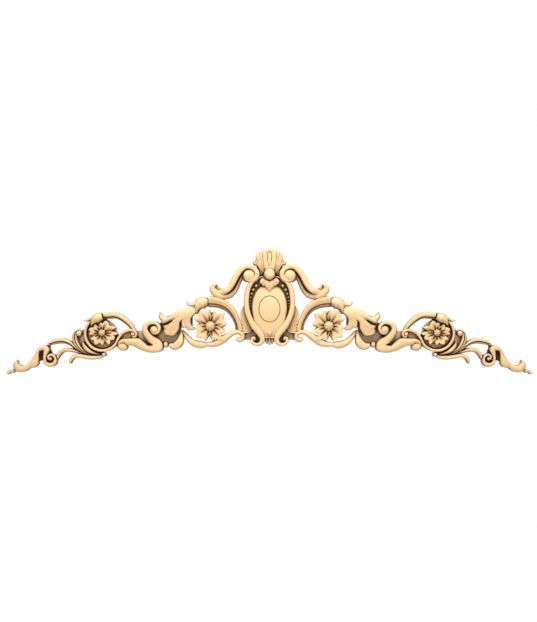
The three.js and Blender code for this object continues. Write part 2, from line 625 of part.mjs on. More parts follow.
// The shield plate, its channel floor, the medallion, and the boss and pendant below it.
function shield() {
  const edge = [[3, 25.8], [7.5, 23], [11, 20], [13, 17.5], [15.5, 12.5], [17.5, 4], [17.6, -1], [17, -6],
    [16.2, -11], [15, -15.5], [12, -20], [8.5, -24], [6, -26.5], [4.5, -28]];
  const rim = [...edge, [0, -28.5], ...opposite(edge).reverse(), [0, 26.5]];
  const floor = [[0, 29], [14, 28], [21, 18], [22.5, 4], [21, -6], [15, -16], [7, -24], [0, -26]];
  const rays = raysTo([0, 0], rim, (i, radius) => {
    const line = medallionReach(Math.atan2(rim[i][1], rim[i][0])) / radius;
    return [[line, SHIELD_TOP], [0.9, SHIELD_EDGE_TOP + 1], [1, SHIELD_EDGE_TOP - 3]];
  });
  const pendant = [-3, 0, 3].map((out) => band({
    spine: [[out, -27, 1.6], [out, -32.5, 1.4], [out * 0.8, -36 + Math.abs(out) * 0.4, 0.7]],
    top: [PENDANT_TOP, PENDANT_TOP, PENDANT_TOP - 4],
  }));
  return [
    plate([...floor, ...opposite(floor.slice(1, -1)).reverse()], CHANNEL_TOP),
    rayed({ centre: [0, 0], middle: MEDALLION_TOP, rays, closed: true }),
    dome({ at: [0, -23.8], wide: 3, top: SHIELD_TOP + 1 }),
    band({ spine: [[-4.5, -28, 1.2], [4.5, -28, 1.2]], top: SHIELD_EDGE_TOP }),
    ...pendant,
  ];
}

// The crown: a shell of five lobes, the pearl at its root and a small collar below it.
function crown() {
  const lobeEdge = [[3, 36], [5, 39.5], [6.1, 43], [6.6, 46], [6.3, 53], [6, 56.5], [5, 58.7], [3, 60.4],
    [0.2, 61]];
  const sideLobes = [
    between({
      left: [[3, 38], [4.4, 43], [4.7, 47], [4.7, 51], [5.4, 55.5], [7.6, 57], [9.6, 57]],
      right: [[7.5, 36], [9.6, 41], [11.2, 45], [13, 49.2], [13.8, 52], [13, 54.5], [11, 56.3]],
      rows: 6,
      top: [SHELL_TOP - 4, SHELL_TOP - 1, SHELL_TOP - 1, SHELL_TOP - 2],
    }),
    between({
      left: [[5.5, 37], [7.8, 42], [8.6, 44], [9.3, 46], [11.2, 49.2], [12.5, 49.3], [13.6, 49.2],
        [14.5, 48.7]],
      right: [[9.2, 32.5], [9.6, 37], [11, 40.5], [13.2, 43.4], [15.5, 43.7], [16.5, 45], [16.3, 47],
        [15.2, 48.2]],
      rows: 7,
      top: [SHELL_TOP - 5, SHELL_TOP - 2, SHELL_TOP - 2, SHELL_TOP - 3],
    }),
  ];
  const collarCentre = [0, 33];
  const collarSide = [[6, 31], [8.5, 29.5], [9.7, 27.5], [9.2, 25.5], [7.5, 24], [6.5, 22.8], [5, 22.6],
    [3.8, 21.3], [2.5, 20], [1.2, 18.4]];
  const collarRim = [...collarSide, [0, 16.2], ...opposite(collarSide).reverse(), [-5, 34], [0, 36],
    [5, 34]];
  const collarRays = raysTo(collarCentre, collarRim, () => [[0.8, COLLAR_TOP], [1, COLLAR_TOP - 3]]);
  const crescent = band({
    spine: [[14, 26.8, 0.6], [11.5, 29.5, 1.2], [9.3, 31.4, 1.1], [6, 31.8, 0.8]],
    top: SHIELD_EDGE_TOP,
  });
  return [
    between({
      left: opposite(lobeEdge),
      right: lobeEdge,
      rows: 8,
      top: [SHELL_TOP - 2, SHELL_TOP, SHELL_TOP],
    }),
    ...sideLobes,
    ...sideLobes.map(mirrored),
    rayed({ centre: collarCentre, middle: COLLAR_TOP, rays: collarRays, closed: true }),
    dome({ at: [0, 34.4], wide: 5.3, high: 5.4, top: PEARL_TOP, shoulder: 7, sides: 14 }),
    plate([[0, 46], [13, 46], [13, 27], [0, 25], [-13, 27], [-13, 46]], COVE_TOP),
    crescent,
    mirrored(crescent),
  ];
}

// A closed outline round the medallion's middle as a thin ring, cut square to the back.
function incisedLine(outline, floorHeight) {
  const shifted = (offset) => outline.map(([out, up]) => {
    const scale = SQUARE + offset / Math.hypot(out, up);
    return new THREE.Vector2(out * scale, up * scale);
  });
  const ring = new THREE.Shape(shifted(LINE_WIDTH / 2));
  ring.holes.push(new THREE.Path(shifted(-LINE_WIDTH / 2)));
  const cut = new THREE.ExtrudeGeometry(ring, { depth: PANEL_LENGTH, bevelEnabled: false });
  cut.deleteAttribute('normal');
  cut.deleteAttribute('uv');
  cut.rotateX(Math.PI / 2);
  cut.translate(0, -floorHeight, 0);
  const merged = mergeVertices(cut);
  return { vertices: [...merged.attributes.position.array], triangles: [...merged.index.array] };
}

function medallionOutline(sides) {
  return Array.from({ length: sides }, (unused, i) => {
    const angle = (i / sides) * 2 * Math.PI;
    const reach = medallionReach(angle);
    return [reach * Math.cos(angle), reach * Math.sin(angle)];
  });
}

const carvedHalf = [
  ...endCurl(), ...stems(), ...ring(), ...outerFlower(), ...outerArch(), ...armAndScroll(),
  ...acanthus(), ...lowerBands(), ...innerFlower(), ...innerArch(), ...upperScroll(),
  ...shieldBorder(), ...sideFan(),
];
const carved = [...carvedHalf, ...carvedHalf.map(mirrored), ...shield(), ...crown()];
const medallionLine = solid(incisedLine(medallionOutline(MEDALLION_SIDES), SHIELD_TOP - LINE_DEPTH));
const joined = carved.map(solid).reduce((whole, piece) => whole.add(piece)).subtract(medallionLine);
const { vertProperties, triVerts } = joined.asOriginal().simplify(FLATNESS).getMesh();
const geometry = new THREE.BufferGeometry();
geometry.setAttribute('position', new THREE.BufferAttribute(vertProperties, 3));
geometry.setIndex(new THREE.BufferAttribute(triVerts, 1));
geometry.computeVertexNormals();

const wood = new THREE.MeshStandardMaterial({ color: WOOD_COLOUR, roughness: WOOD_ROUGHNESS, metalness: 0 });
const panel = new THREE.Mesh(geometry, wood);
panel.name = 'floral_panel';
const part = new THREE.Group();
part.add(panel);

export default part;
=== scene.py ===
import math

import bpy
import numpy as np
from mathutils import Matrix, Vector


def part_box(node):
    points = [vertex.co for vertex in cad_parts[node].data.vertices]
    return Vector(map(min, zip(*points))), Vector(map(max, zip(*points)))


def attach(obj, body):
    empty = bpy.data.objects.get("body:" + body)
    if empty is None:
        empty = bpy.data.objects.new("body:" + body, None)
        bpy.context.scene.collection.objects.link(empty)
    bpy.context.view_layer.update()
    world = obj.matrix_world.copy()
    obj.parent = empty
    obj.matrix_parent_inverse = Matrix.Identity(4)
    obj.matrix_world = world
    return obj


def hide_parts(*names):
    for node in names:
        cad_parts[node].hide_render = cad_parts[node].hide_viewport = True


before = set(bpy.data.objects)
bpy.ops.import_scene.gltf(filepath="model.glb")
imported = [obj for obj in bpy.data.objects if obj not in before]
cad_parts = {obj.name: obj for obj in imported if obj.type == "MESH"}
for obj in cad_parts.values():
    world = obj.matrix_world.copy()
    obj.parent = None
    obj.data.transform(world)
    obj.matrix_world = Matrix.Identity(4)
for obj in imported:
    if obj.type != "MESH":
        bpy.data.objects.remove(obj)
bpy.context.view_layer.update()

# The view. The panel hangs upright and is seen straight from the front by a lens on its
# mirror line. It is drawn on ruled squares, 525.8 from the outside of one tip bead to the
# other, and one square is one pixel of the picture at the depth of the outline's edges.
low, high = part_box("floral_panel")
SQUARES_ACROSS = 525.8
SQUARE = (high[0] - low[0]) / SQUARES_ACROSS
PICTURE_WIDTH, PICTURE_HEIGHT = 537, 622
MIRROR_COLUMN, MEDALLION_ROW = 269.5, 309
LENS_DISTANCE = 1.6
OUTLINE_DEPTH = 0.008
FILM_WIDTH = 36
lens = bpy.data.cameras.new("view")
lens.sensor_fit = "HORIZONTAL"
lens.sensor_width = FILM_WIDTH
lens.lens = FILM_WIDTH * (LENS_DISTANCE - OUTLINE_DEPTH) / (PICTURE_WIDTH * SQUARE)
camera = bpy.data.objects.new("view", lens)
camera.location = (
    (PICTURE_WIDTH / 2 - MIRROR_COLUMN) * SQUARE,
    -LENS_DISTANCE,
    (MEDALLION_ROW - PICTURE_HEIGHT / 2) * SQUARE,
)
camera.rotation_euler = (math.radians(90), 0, 0)
bpy.context.collection.objects.link(camera)
bpy.context.scene.camera = camera

# The studio. A pale floor lies below the picture. A wide soft light hangs above and in
# front of the panel, weaker ones stand in front and behind, and white surrounds it all.
FLOOR_DROP, FLOOR_FRONT, FLOOR_REAR, FLOOR_REACH = 0.75, -3.0, 0.2, 1.6
PALE_FLOOR = (0.85, 0.84, 0.82, 1)
WHITE = (1, 1, 1, 1)
SURROUND_STRENGTH = 0.05
floor_mesh = bpy.data.meshes.new("floor")
floor_mesh.from_pydata(
    [(-FLOOR_REACH, FLOOR_FRONT, -FLOOR_DROP), (FLOOR_REACH, FLOOR_FRONT, -FLOOR_DROP),
     (FLOOR_REACH, FLOOR_REAR, -FLOOR_DROP), (-FLOOR_REACH, FLOOR_REAR, -FLOOR_DROP)],
    [], [(0, 1, 2, 3)])
floor = bpy.data.objects.new("floor", floor_mesh)
bpy.context.collection.objects.link(floor)
pale = bpy.data.materials.new("pale_floor")
pale.use_nodes = True
pale.node_tree.nodes["Principled BSDF"].inputs["Base Color"].default_value = PALE_FLOOR
floor.data.materials.append(pale)


def soft_light(name, place, size, power, colour):
    """A square soft box at a place, turned to face the panel."""
    light = bpy.data.lights.new(name, "AREA")
    light.size = size
    light.energy = power
    light.color = colour
    box = bpy.data.objects.new(name, light)
    box.location = place
    direction = -np.array(place)
    box.rotation_euler = (
        math.atan2(np.hypot(direction[0], direction[1]), -direction[2]),
        0,
        math.atan2(direction[1], direction[0]) - math.pi / 2,
    )
    bpy.context.collection.objects.link(box)


soft_light("top_light", (0, -0.8, 1.5), 1.2, 53, (1, 0.98, 0.89))
soft_light("front_light", (0, -1.9, 0.2), 1.0, 12, (1, 0.96, 0.95))
soft_light("back_light", (0, 1.8, 0.3), 1.2, 30, (1, 0.97, 0.93))


class Socket:
    """One output of a shader node, with arithmetic."""

    def __init__(self, tree, output):
        self.tree = tree
        self.output = output

    def node(self, kind, settings=None, values=None, result=0):
        """Adds a node, sets it up, and gives one of its outputs."""
        made = self.tree.nodes.new(kind)
        for name, value in (settings or {}).items():
            if name == "stops":
                elements = made.color_ramp.elements
                while len(elements) < len(value):
                    elements.new(0.5)
                for element, (place, colour) in zip(elements, value):
                    element.position = place
                    element.color = colour
            else:
                setattr(made, name, value)
        for name, value in (values or {}).items():
            if isinstance(value, Socket):
                self.tree.links.new(value.output, made.inputs[name])
            else:
                made.inputs[name].default_value = value
        return Socket(self.tree, made.outputs[result])

    def maths(self, operation, first, second):
        """One step of arithmetic between two values or outputs."""
        return self.node("ShaderNodeMath", {"operation": operation}, {0: first, 1: second})

    def __mul__(self, other):
        return self.maths("MULTIPLY", self, other)

    def __add__(self, other):
        return self.maths("ADD", self, other)

    __rmul__ = __mul__
    __radd__ = __add__

    def mixed(self, first, second):
        """A colour between two others, by this value."""
        return self.node("ShaderNodeMix", {"data_type": "RGBA"}, {0: self, 6: first, 7: second}, 2)

    def into(self, made, name):
        """Links this output to an input of a node."""
        self.tree.links.new(self.output, made.inputs[name])


surround = bpy.data.worlds.new("surround")
bpy.context.scene.world = surround
surround.use_nodes = True
surround_nodes = surround.node_tree.nodes
surround_nodes["Background"].inputs["Color"].default_value = WHITE
surround_nodes["Background"].inputs["Strength"].default_value = SURROUND_STRENGTH
dim = Socket(surround.node_tree, surround_nodes["Background"].outputs[0])
white = dim.node("ShaderNodeBackground", None, {"Color": WHITE})
seen = dim.node("ShaderNodeLightPath", result="Is Camera Ray")
choice = seen.node("ShaderNodeMixShader", None, {0: seen, 1: dim, 2: white})
choice.into(surround_nodes["World Output"], "Surface")
bpy.context.scene.view_settings.view_transform = "Standard"

# The end curl. Two turned beads close the panel, then a leaf folds over and rolls into a
# small scroll. Like all of the panel it is carved from the one board: each form is a carved
# surface with straight sides down to the flat back, drawn in squares, its heights in mm.
GROUND = 5
TIP_BEAD_TOP = 12
END_LEAF_TOP = 14
END_SCROLL_TOP = 16
COVE_TOP = 10
SLOT_FLOOR = 3
SHOULDER = 6
THINNEST = 1.5
STEP = 0.9
EDGE_STEP = 0.3
SPAN_STEPS = 24
FEWEST_STEPS = 8
LEAF_ROWS = 34
SHORTEST_DOME, LOWEST_END, NARROWEST_END = 0.5, 0.02, 0.15
CUT_PLACES, CUT_CLEARING, CUT_CURVE = (-1, -0.45, 0, 0.45, 1), 0.9, 1.2
FADE_SLOPE, FADE_START = 1.4, 0.3
MILLIMETRE = 0.001
right_half = []
middle = []


def relief(grid, closed=False, cap=None):
    """A closed body from a grid of [out, up, height] points: rows of stations, or rays."""
    rows, lanes = grid.shape[:2]
    points = grid.reshape(-1, 3)
    index = np.arange(rows * lanes).reshape(rows, lanes)
    if closed:
        index = np.vstack([index, index[:1]])
    quads = np.stack([index[:-1, :-1], index[:-1, 1:], index[1:, 1:], index[1:, :-1]], -1).reshape(-1, 4)
    faces = [tuple(quad) for quad in quads.tolist()]
    if closed:
        points = np.vstack([points, cap])
        peak = len(points) - 1
        inner = index[:, 0]
        faces += [(peak, int(a), int(b)) for a, b in zip(inner[:-1], inner[1:])]
        rim = index[:-1, -1]
    else:
        rim = np.concatenate([index[0, :-1], index[:-1, -1], index[-1, :0:-1], index[:0:-1, 0]])
    corners = points[rim]
    ahead = np.roll(corners, -1, 0)
    turn = np.sum(corners[:, 0] * ahead[:, 1] - ahead[:, 0] * corners[:, 1])
    count = len(points)
    back = np.arange(count, count + len(rim))
    following = np.roll(rim, -1)
    back_following = np.roll(back, -1)
    walls = np.stack([following, rim, back, back_following], -1).tolist()
    side_faces = [tuple(wall) for wall in walls] + [tuple(back[::-1].tolist())]
    a, b, c = points[quads[:, 0]], points[quads[:, 1]], points[quads[:, 3]]
    facing = np.sum((b[:, 0] - a[:, 0]) * (c[:, 1] - a[:, 1]) - (c[:, 0] - a[:, 0]) * (b[:, 1] - a[:, 1]))
    if facing < 0:
        faces = [face[::-1] for face in faces]
    if turn < 0:
        side_faces = [face[::-1] for face in side_faces]
    front = np.stack([points[:, 0] * SQUARE, -points[:, 2] * MILLIMETRE, points[:, 1] * SQUARE], -1)
    rear = front[rim] * (1, 0, 1)
    return np.vstack([front, rear]), faces + side_faces


def path(points, step=STEP):
    """Even stations on a centripetal curve through [out, up, half width] points."""
    knots = np.array(points, float)
    reach = np.vstack([2 * knots[0] - knots[1], knots, 2 * knots[-1] - knots[-2]])
    spans = []
    for i in range(len(knots) - 1):
        p = reach[i:i + 4]
        times = np.concatenate([[0], np.cumsum(np.linalg.norm(np.diff(p, axis=0), axis=1) ** 0.5)])
        now = np.linspace(times[1], times[2], SPAN_STEPS, endpoint=False)[:, None]

        def blend(a, b, start, end):
            return ((end - now) * a + (now - start) * b) / (end - start)

        first = [blend(p[k], p[k + 1], times[k], times[k + 1]) for k in range(3)]
        second = [blend(first[k], first[k + 1], times[k], times[k + 2]) for k in range(2)]
        spans.append(blend(second[0], second[1], times[1], times[2]))
    fine = np.vstack([*spans, knots[-1:]])
    travel = np.concatenate([[0], np.cumsum(np.linalg.norm(np.diff(fine[:, :2], axis=0), axis=1))])
    even = np.linspace(0, travel[-1], max(FEWEST_STEPS, math.ceil(travel[-1] / step)) + 1)
    return np.stack([np.interp(even, travel, fine[:, k]) for k in range(fine.shape[1])], -1), even


def lanes_across(lanes, cuts):
    """Places across a moulding from -1 to 1, closer at the edges, with one at each cut."""
    places = set(np.round(np.sin(np.linspace(-math.pi / 2, math.pi / 2, lanes + 1)), 4))
    for middle_of_cut, width, depth in cuts:
        cleared = width * CUT_CLEARING
        places = {place for place in places if abs(place - middle_of_cut) > cleared or abs(place) == 1}
        places |= {middle_of_cut + width * share for share in CUT_PLACES}
    return np.array(sorted(place for place in places if -1 <= place <= 1))


def carving(across, bulge, cuts):
    """The rise of a moulding's section, from 0 to 1, and how deep its cuts are there."""
    rise = (1 - np.abs(across) ** bulge) ** (1 / bulge)
    depth = np.zeros_like(across)
    for middle_of_cut, width, cut_depth in cuts:
        depth += cut_depth * np.clip(1 - np.abs(across - middle_of_cut) / width, 0, 1) ** CUT_CURVE
    return rise, depth


def heights(top, shares, across, shoulder, bulge, cuts, lean, cap):
    """Heights of a surface whose crown follows top and whose edges drop by shoulder."""
    rise, depth = carving(across, bulge, cuts)
    crown = np.interp(shares, np.linspace(0, 1, len(np.atleast_1d(top))), np.atleast_1d(top))
    surface = crown[:, None] - shoulder * (1 - rise[None] * cap[:, None]) - depth[None] * cap[:, None]
    return np.maximum(surface + lean * across[None], THINNEST)


def rounded(even, reach, ends):
    """How far a moulding has swelled at each station when its ends are domed."""
    cap = np.ones_like(even)
    for domed, away in zip(ends, (even, even[-1] - even)):
        if domed:
            near = np.clip(away / reach, 0, 1)
            cap *= np.sqrt(np.clip(1 - (1 - near) ** 2, LOWEST_END, 1))
    return cap


def moulding(spine, top, shoulder=SHOULDER, bulge=2.4, cuts=(), lean=0, lanes=10, domed=(False, False)):
    """A carved band along a spine of [out, up, half width] points."""
    stations, even = path(spine)
    heading = np.gradient(stations[:, :2], axis=0)
    heading /= np.linalg.norm(heading, axis=1)[:, None]
    across = lanes_across(lanes, cuts)
    cap = rounded(even, max(stations[:, 2].mean(), SHORTEST_DOME), domed)
    half = stations[:, 2] * np.maximum(cap, NARROWEST_END)
    grid = np.empty((len(stations), len(across), 3))
    grid[..., 0] = stations[:, :1] - heading[:, 1:] * half[:, None] * across[None]
    grid[..., 1] = stations[:, 1:2] + heading[:, :1] * half[:, None] * across[None]
    grid[..., 2] = heights(top, even / even[-1], across, shoulder, bulge, cuts, lean, cap)
    return relief(grid)


def leaf(left, right, top, shoulder=SHOULDER, bulge=2.4, cuts=(), lanes=12):
    """A carved surface between two drawn edges."""
    edges = []
    for edge in (left, right):
        stations, even = path([(*point, 0) for point in edge], EDGE_STEP)
        places = np.linspace(0, even[-1], LEAF_ROWS + 1)
        edges.append(np.stack([np.interp(places, even, stations[:, k]) for k in (0, 1)], -1))
    across = lanes_across(lanes, cuts)
    weight = ((across + 1) / 2)[None, :, None]
    grid = np.empty((LEAF_ROWS + 1, len(across), 3))
    grid[..., :2] = edges[0][:, None] * (1 - weight) + edges[1][:, None] * weight
    shares = np.linspace(0, 1, LEAF_ROWS + 1)
    grid[..., 2] = heights(top, shares, across, shoulder, bulge, (), 0, np.ones_like(shares))
    wide = np.linalg.norm(edges[1] - edges[0], axis=1)
    fade = np.clip(FADE_SLOPE * wide / wide.max() - FADE_START, 0, 1)[:, None]
    grid[..., 2] -= carving(across, bulge, cuts)[1][None] * fade
    return relief(grid)


def coil(centre, stations):
    """Points on a spiral round a centre, from [angle, radius, half width] stations."""
    return [(centre[0] + radius * math.cos(math.radians(angle)),
             centre[1] + radius * math.sin(math.radians(angle)), half) for angle, radius, half in stations]


def dome(at, wide, top, high=None, shoulder=SHOULDER, sides=28, rings=7):
    """A half ball or half egg on a straight side."""
    turn = np.linspace(0, 2 * math.pi, sides, endpoint=False)[:, None]
    share = np.sin(np.linspace(0, math.pi / 2, rings + 1)[1:])[None]
    grid = np.empty((sides, rings, 3))
    grid[..., 0] = at[0] + wide * share * np.cos(turn)
    grid[..., 1] = at[1] + (high or wide) * share * np.sin(turn)
    grid[..., 2] = top - shoulder * (1 - np.clip(1 - share ** 2, 0, 1) ** 0.5)
    return relief(grid, closed=True, cap=[(at[0], at[1], top)])


def plate(outline, height=GROUND):
    """A flat piece of the ground behind the ornament."""
    points = np.array([(out, up, height) for out, up in outline])
    turn = np.sum(points[:, 0] * np.roll(points[:, 1], -1) - np.roll(points[:, 0], -1) * points[:, 1])
    if turn < 0:
        points = points[::-1]
    count = len(points)
    front = np.stack([points[:, 0] * SQUARE, -points[:, 2] * MILLIMETRE, points[:, 1] * SQUARE], -1)
    face, rear_face = tuple(range(count)), tuple(range(2 * count - 1, count - 1, -1))
    walls = [((i + 1) % count, i, i + count, (i + 1) % count + count) for i in range(count)]
    return np.vstack([front, front * (1, 0, 1)]), [face, rear_face, *walls]


end_eye = (218.3, -49.6)
right_half += [
    dome((261, -63.5), 1.9, TIP_BEAD_TOP),
    dome((256.6, -62.1), 1.9, TIP_BEAD_TOP),
    moulding([(261, -63.5, 1), (251.5, -60, 1.3)], TIP_BEAD_TOP - 3, shoulder=3),
    leaf([(252, -51), (254.2, -52), (255.8, -54), (256.2, -56), (255.8, -59.2), (253.5, -62.3),
          (249.5, -63.3), (244.5, -62.7), (241.5, -61), (238.5, -59), (235.5, -58.7), (233, -57.8),
          (231, -55.3), (230.2, -52), (230.2, -46), (229.4, -42), (227.6, -40)],
         [(251.3, -51.3), (251.2, -53.5), (250.3, -55.2), (249, -56.2), (247, -56.6), (244.5, -56),
          (241.5, -54.5), (238.7, -52), (237, -49), (235, -46), (232.5, -42), (230.5, -39), (228, -36.9),
          (225.8, -36.4)],
         [END_LEAF_TOP - 2, END_LEAF_TOP, END_LEAF_TOP, END_LEAF_TOP]),
    moulding([(229.6, -40.4, 1.8), (226, -38.9, 2.7), (222.9, -40.3, 3.3), (223.6, -45, 2.4),
              *coil(end_eye, [(0, 6, 1.75), (-45, 6.4, 2), (-90, 6.1, 2.2), (-135, 5.6, 2), (-180, 4.7, 1.4),
                              (-225, 4.2, 1.3), (-270, 3.9, 1.3), (-315, 3.1, 1.5), (-350, 2, 1.3),
                              (-385, 1, 1.3)])],
             [END_LEAF_TOP, END_SCROLL_TOP]),
    dome(end_eye, 2.1, END_SCROLL_TOP),
    dome(end_eye, 4.6, COVE_TOP - 2, shoulder=2),
    plate([(231.5, -41), (221.5, -36), (219.6, -36), (219.6, -39), (217, -46), (224, -48), (227, -51.5),
           (232.5, -52.5)], SLOT_FLOOR),
    plate([(215, -45.5), (211, -46.5), (210.3, -49), (213, -52)]),
    dome((220.2, -35), 1.9, TIP_BEAD_TOP + 1),
]

# The stems and feathers. Slender bands fan out from the foot of the ring to the end curl,
# some with a groove along them, over a small plate of low ground.
STEM_TOP = 15
FEATHER_TOP = 16
SMALL_BEAD_TOP = 17
right_half += [
    moulding([(219, -34.3, 1.9), (214.5, -32.7, 2.6), (209.5, -31.8, 2.8), (204.5, -32.1, 2.7),
              (199.5, -34, 2.3), (195.5, -37, 1.9), (190, -42.5, 0.5)],
             [STEM_TOP, STEM_TOP, STEM_TOP, STEM_TOP - 4], cuts=[(0.22, 0.24, 3)], lean=-1.5),
    moulding([(211.2, -49.2, 0.8), (210.5, -45.8, 1.9), (208, -42.6, 2.1), (204, -41, 2),
              (199.5, -41, 1.9), (193.5, -42.5, 1.5), (187.5, -44.5, 1.2)],
             [END_LEAF_TOP, STEM_TOP, GROUND + 4], lean=-1),
    moulding([(199, -54.4, 0.9), (198.2, -50.8, 1.7), (195.7, -47.8, 1.9), (191, -46.6, 1.9),
              (183.5, -47.9, 2.1), (176, -48.5, 2), (170, -48, 1.6), (166.5, -46.6, 1)], STEM_TOP),
    dome((165.2, -45.4), 2.2, SMALL_BEAD_TOP),
    moulding([(189.5, -21, 0.9), (193, -22.9, 1.6), (194.3, -26.8, 2.5), (194, -31, 2.8),
              (191.8, -36, 2.5), (188, -40.5, 1.9), (182.5, -44, 1.4), (177.5, -45.8, 0.9)],
             [FEATHER_TOP, FEATHER_TOP, GROUND + 6], cuts=[(-0.05, 0.26, 2.6)]),
    dome((190, -24.3), 3, FEATHER_TOP + 2),
    moulding([(186, -33, 0.8), (185, -36.5, 1.9), (181.5, -40.5, 2.2), (176.5, -43.3, 1.7),
              (169.5, -45.2, 1)], [FEATHER_TOP - 2, FEATHER_TOP, GROUND + 6]),
    plate([(193, -28), (189, -22), (182, -18), (176, -34), (166, -42), (168, -48), (180, -46.5),
           (190, -46), (198, -38)]),
]

# The ring. A thin rim runs round the outer flower and then up into a little scroll, with
# a hollow cove under it, and the low ground closes the ring on its outer side.
RING_TOP = 17
ring_centre = (166.7, -24.5)
ring_arc = [(angle, 16.9, 1.4) for angle in (47, 25, 0, -25, -50, -75, -100, -122, -140)]
ground_arc = [(angle, 16, 0) for angle in range(100, -173, -8)]
right_half += [
    moulding([*coil(ring_centre, ring_arc), (150.2, -28.8, 1.5), (146.7, -24.3, 1.5),
              (142.5, -21.9, 1.5), (138, -21, 1.5), (134.2, -22.3, 1.4), (132.7, -25.2, 1.4),
              (134.2, -27.9, 1.2), (136.7, -27.8, 1)],
             RING_TOP, shoulder=4),
    plate([point[:2] for point in coil(ring_centre, ground_arc)]),
    dome(ring_centre, 14.2, COVE_TOP, shoulder=1),
    plate([(153, -37), (149, -28), (143.5, -23), (138.5, -21.5), (134, -23), (133, -28), (141, -31),
           (147, -34), (150, -40)], COVE_TOP),
    dome((136.1, -25.1), 2.5, RING_TOP + 1),
]

# The outer flower. Four petals of three pointed tips rise round a domed heart. A gouge is
# cut down each tip, ridges are left between the gouges and the petals part at deep notches.
PETAL_TOP = 18
OUTER_BOSS_TOP = 21
PETAL_PLACES = (0.2, 0.3, 0.45, 0.6, 0.72, 0.82, 0.92, 1)
GOUGE = (-4.2, -4, -3.4, -2.2, -1, -0.3, 0, -0.8)
RIDGE = (-2.6, -1.8, -1.1, -0.7, -0.5, -0.4, -0.4, -1.1)
NOTCH = (-2.6, -1.6, -1, -1.2, -2, -3.2, -4.6, -5.5)
PETAL_STREAKS = (0.3, 0.8, 1, 0.8, 0.4, 0, 0, 0)
STREAK_DEPTH = 0.9
RAYS_PER_STREAK = 3
PETAL_STEPS = 6
HEART_SIDES, HEART_RINGS = 72, 10
HEART_DROP = 8
HEART_CUTS, HEART_CUT_DEPTH, HEART_CUT_SHARPNESS, HEART_CUT_RISE = 6, 1.3, 14, 1.6


def rimmed(centre, rim, shares, tops, peak):
    """A closed surface of rays from a centre to a rim, with heights at shares of each ray."""
    grid = np.empty((len(rim), np.shape(shares)[-1], 3))
    spread = (np.array(rim, float) - centre)[:, None]
    grid[..., :2] = np.array(centre) + spread * np.asarray(shares)[..., None]
    grid[..., 2] = tops
    return relief(grid, closed=True, cap=[(*centre, peak)])


def flower(centre, outline, top, heart_radius, heart_top, swelling):
    """Four petals from [angle, radius] points: tip, cleft, tip, cleft, tip and notch of each."""
    kinds = np.array((GOUGE, RIDGE, GOUGE, RIDGE, GOUGE, NOTCH))
    turns = np.radians([angle for angle, radius in outline])
    radii = np.array([radius for angle, radius in outline])
    corners = np.stack([radii * np.cos(turns), radii * np.sin(turns)], -1)
    rim, tops = [], []
    for i, corner in enumerate(corners):
        following = corners[(i + 1) % len(corners)]
        for share in np.arange(PETAL_STEPS) / PETAL_STEPS:
            swell = 1 + swelling * math.sin(math.pi * share)
            rim.append(centre + (corner + (following - corner) * share) * swell)
            turned = 0.5 - 0.5 * math.cos(math.pi * share)
            here, ahead = kinds[i % len(kinds)], kinds[(i + 1) % len(kinds)]
            tops.append(top + here * (1 - turned) + ahead * turned)
    streaked = np.arange(len(rim)) % RAYS_PER_STREAK == 0
    streaks = streaked[:, None] * STREAK_DEPTH * np.array(PETAL_STREAKS)
    petals = rimmed(centre, rim, PETAL_PLACES, np.array(tops) - streaks, top + GOUGE[0])
    around = np.linspace(0, 2 * math.pi, HEART_SIDES, endpoint=False)
    edge = centre + heart_radius * np.stack([np.cos(around), np.sin(around)], -1)
    places = np.sin(np.linspace(0, math.pi / 2, HEART_RINGS + 1)[1:])
    spokes = np.abs(np.cos(around * HEART_CUTS / 2))[:, None] ** HEART_CUT_SHARPNESS
    cut = HEART_CUT_DEPTH * spokes * np.clip(places * HEART_CUT_RISE, 0, 1)
    drop = HEART_DROP * (1 - np.sqrt(1 - places ** 2))
    heart = rimmed(centre, edge, places, heart_top - drop - cut, heart_top)
    return [petals, heart]


right_half += flower(
    (167, -23.7),
    [(83, 9.8), (95, 9.2), (111, 12.7), (138, 10.3), (160, 14.9), (169, 10.5),
     (183, 15.8), (192.5, 12.1), (205, 14), (220.7, 11.2), (238, 13.7), (251.6, 9.8),
     (267, 12), (278.7, 9.9), (300, 13.3), (315.8, 10.5), (329, 12.3), (341.7, 10.2),
     (354, 12.3), (363.7, 10.7), (376.5, 13), (397.2, 9.4), (412, 10.6), (423.7, 8.6)],
    PETAL_TOP, 3.7, OUTER_BOSS_TOP, 0.07)

# The outer husk and arch. The husk is a swelling bud whose sepals part into a curl and a
# point; a round arch with a groove and a fillet springs from it over the flower.
HUSK_TOP = 24
ARCH_TOP = 18
LOBE_TOP = 18


def husk(body, curl, neck):
    """The bud, its curling sepal and the low neck that joins it to the arch."""
    return [
        moulding(body, [HUSK_TOP - 3, HUSK_TOP, HUSK_TOP - 2, LOBE_TOP], shoulder=12, bulge=2, lanes=16),
        moulding(curl, [HUSK_TOP - 3, LOBE_TOP, LOBE_TOP - 3]),
        moulding(neck, GROUND + 1),
    ]


right_half += husk(
    [(166.4, -7.3, 3.8), (170.5, -8.8, 4.8), (173.5, -10.2, 4.6), (175.7, -12.7, 3.2), (177.6, -16.8, 0.6)],
    [(174.5, -8.2, 2), (178.5, -10, 1.5), (182, -11.6, 1.1), (185.6, -11.4, 0.4)],
    [(169, -7.5, 3), (163, -6.8, 3)])
right_half.append(moulding(
    [(165.3, -6.7, 3.2), (160.5, -6.6, 3.4), (155, -6.3, 3.2), (150.3, -7.4, 3.1), (146.3, -9.6, 3),
     (141.9, -13, 2.7), (138.5, -16.7, 2.4), (136, -19.9, 2), (134.3, -22.3, 1.5), (133.2, -24.6, 0.9)],
    [ARCH_TOP, ARCH_TOP, ARCH_TOP, RING_TOP - 2], cuts=[(0.45, 0.2, 3.2)], lean=-1.5, lanes=14))

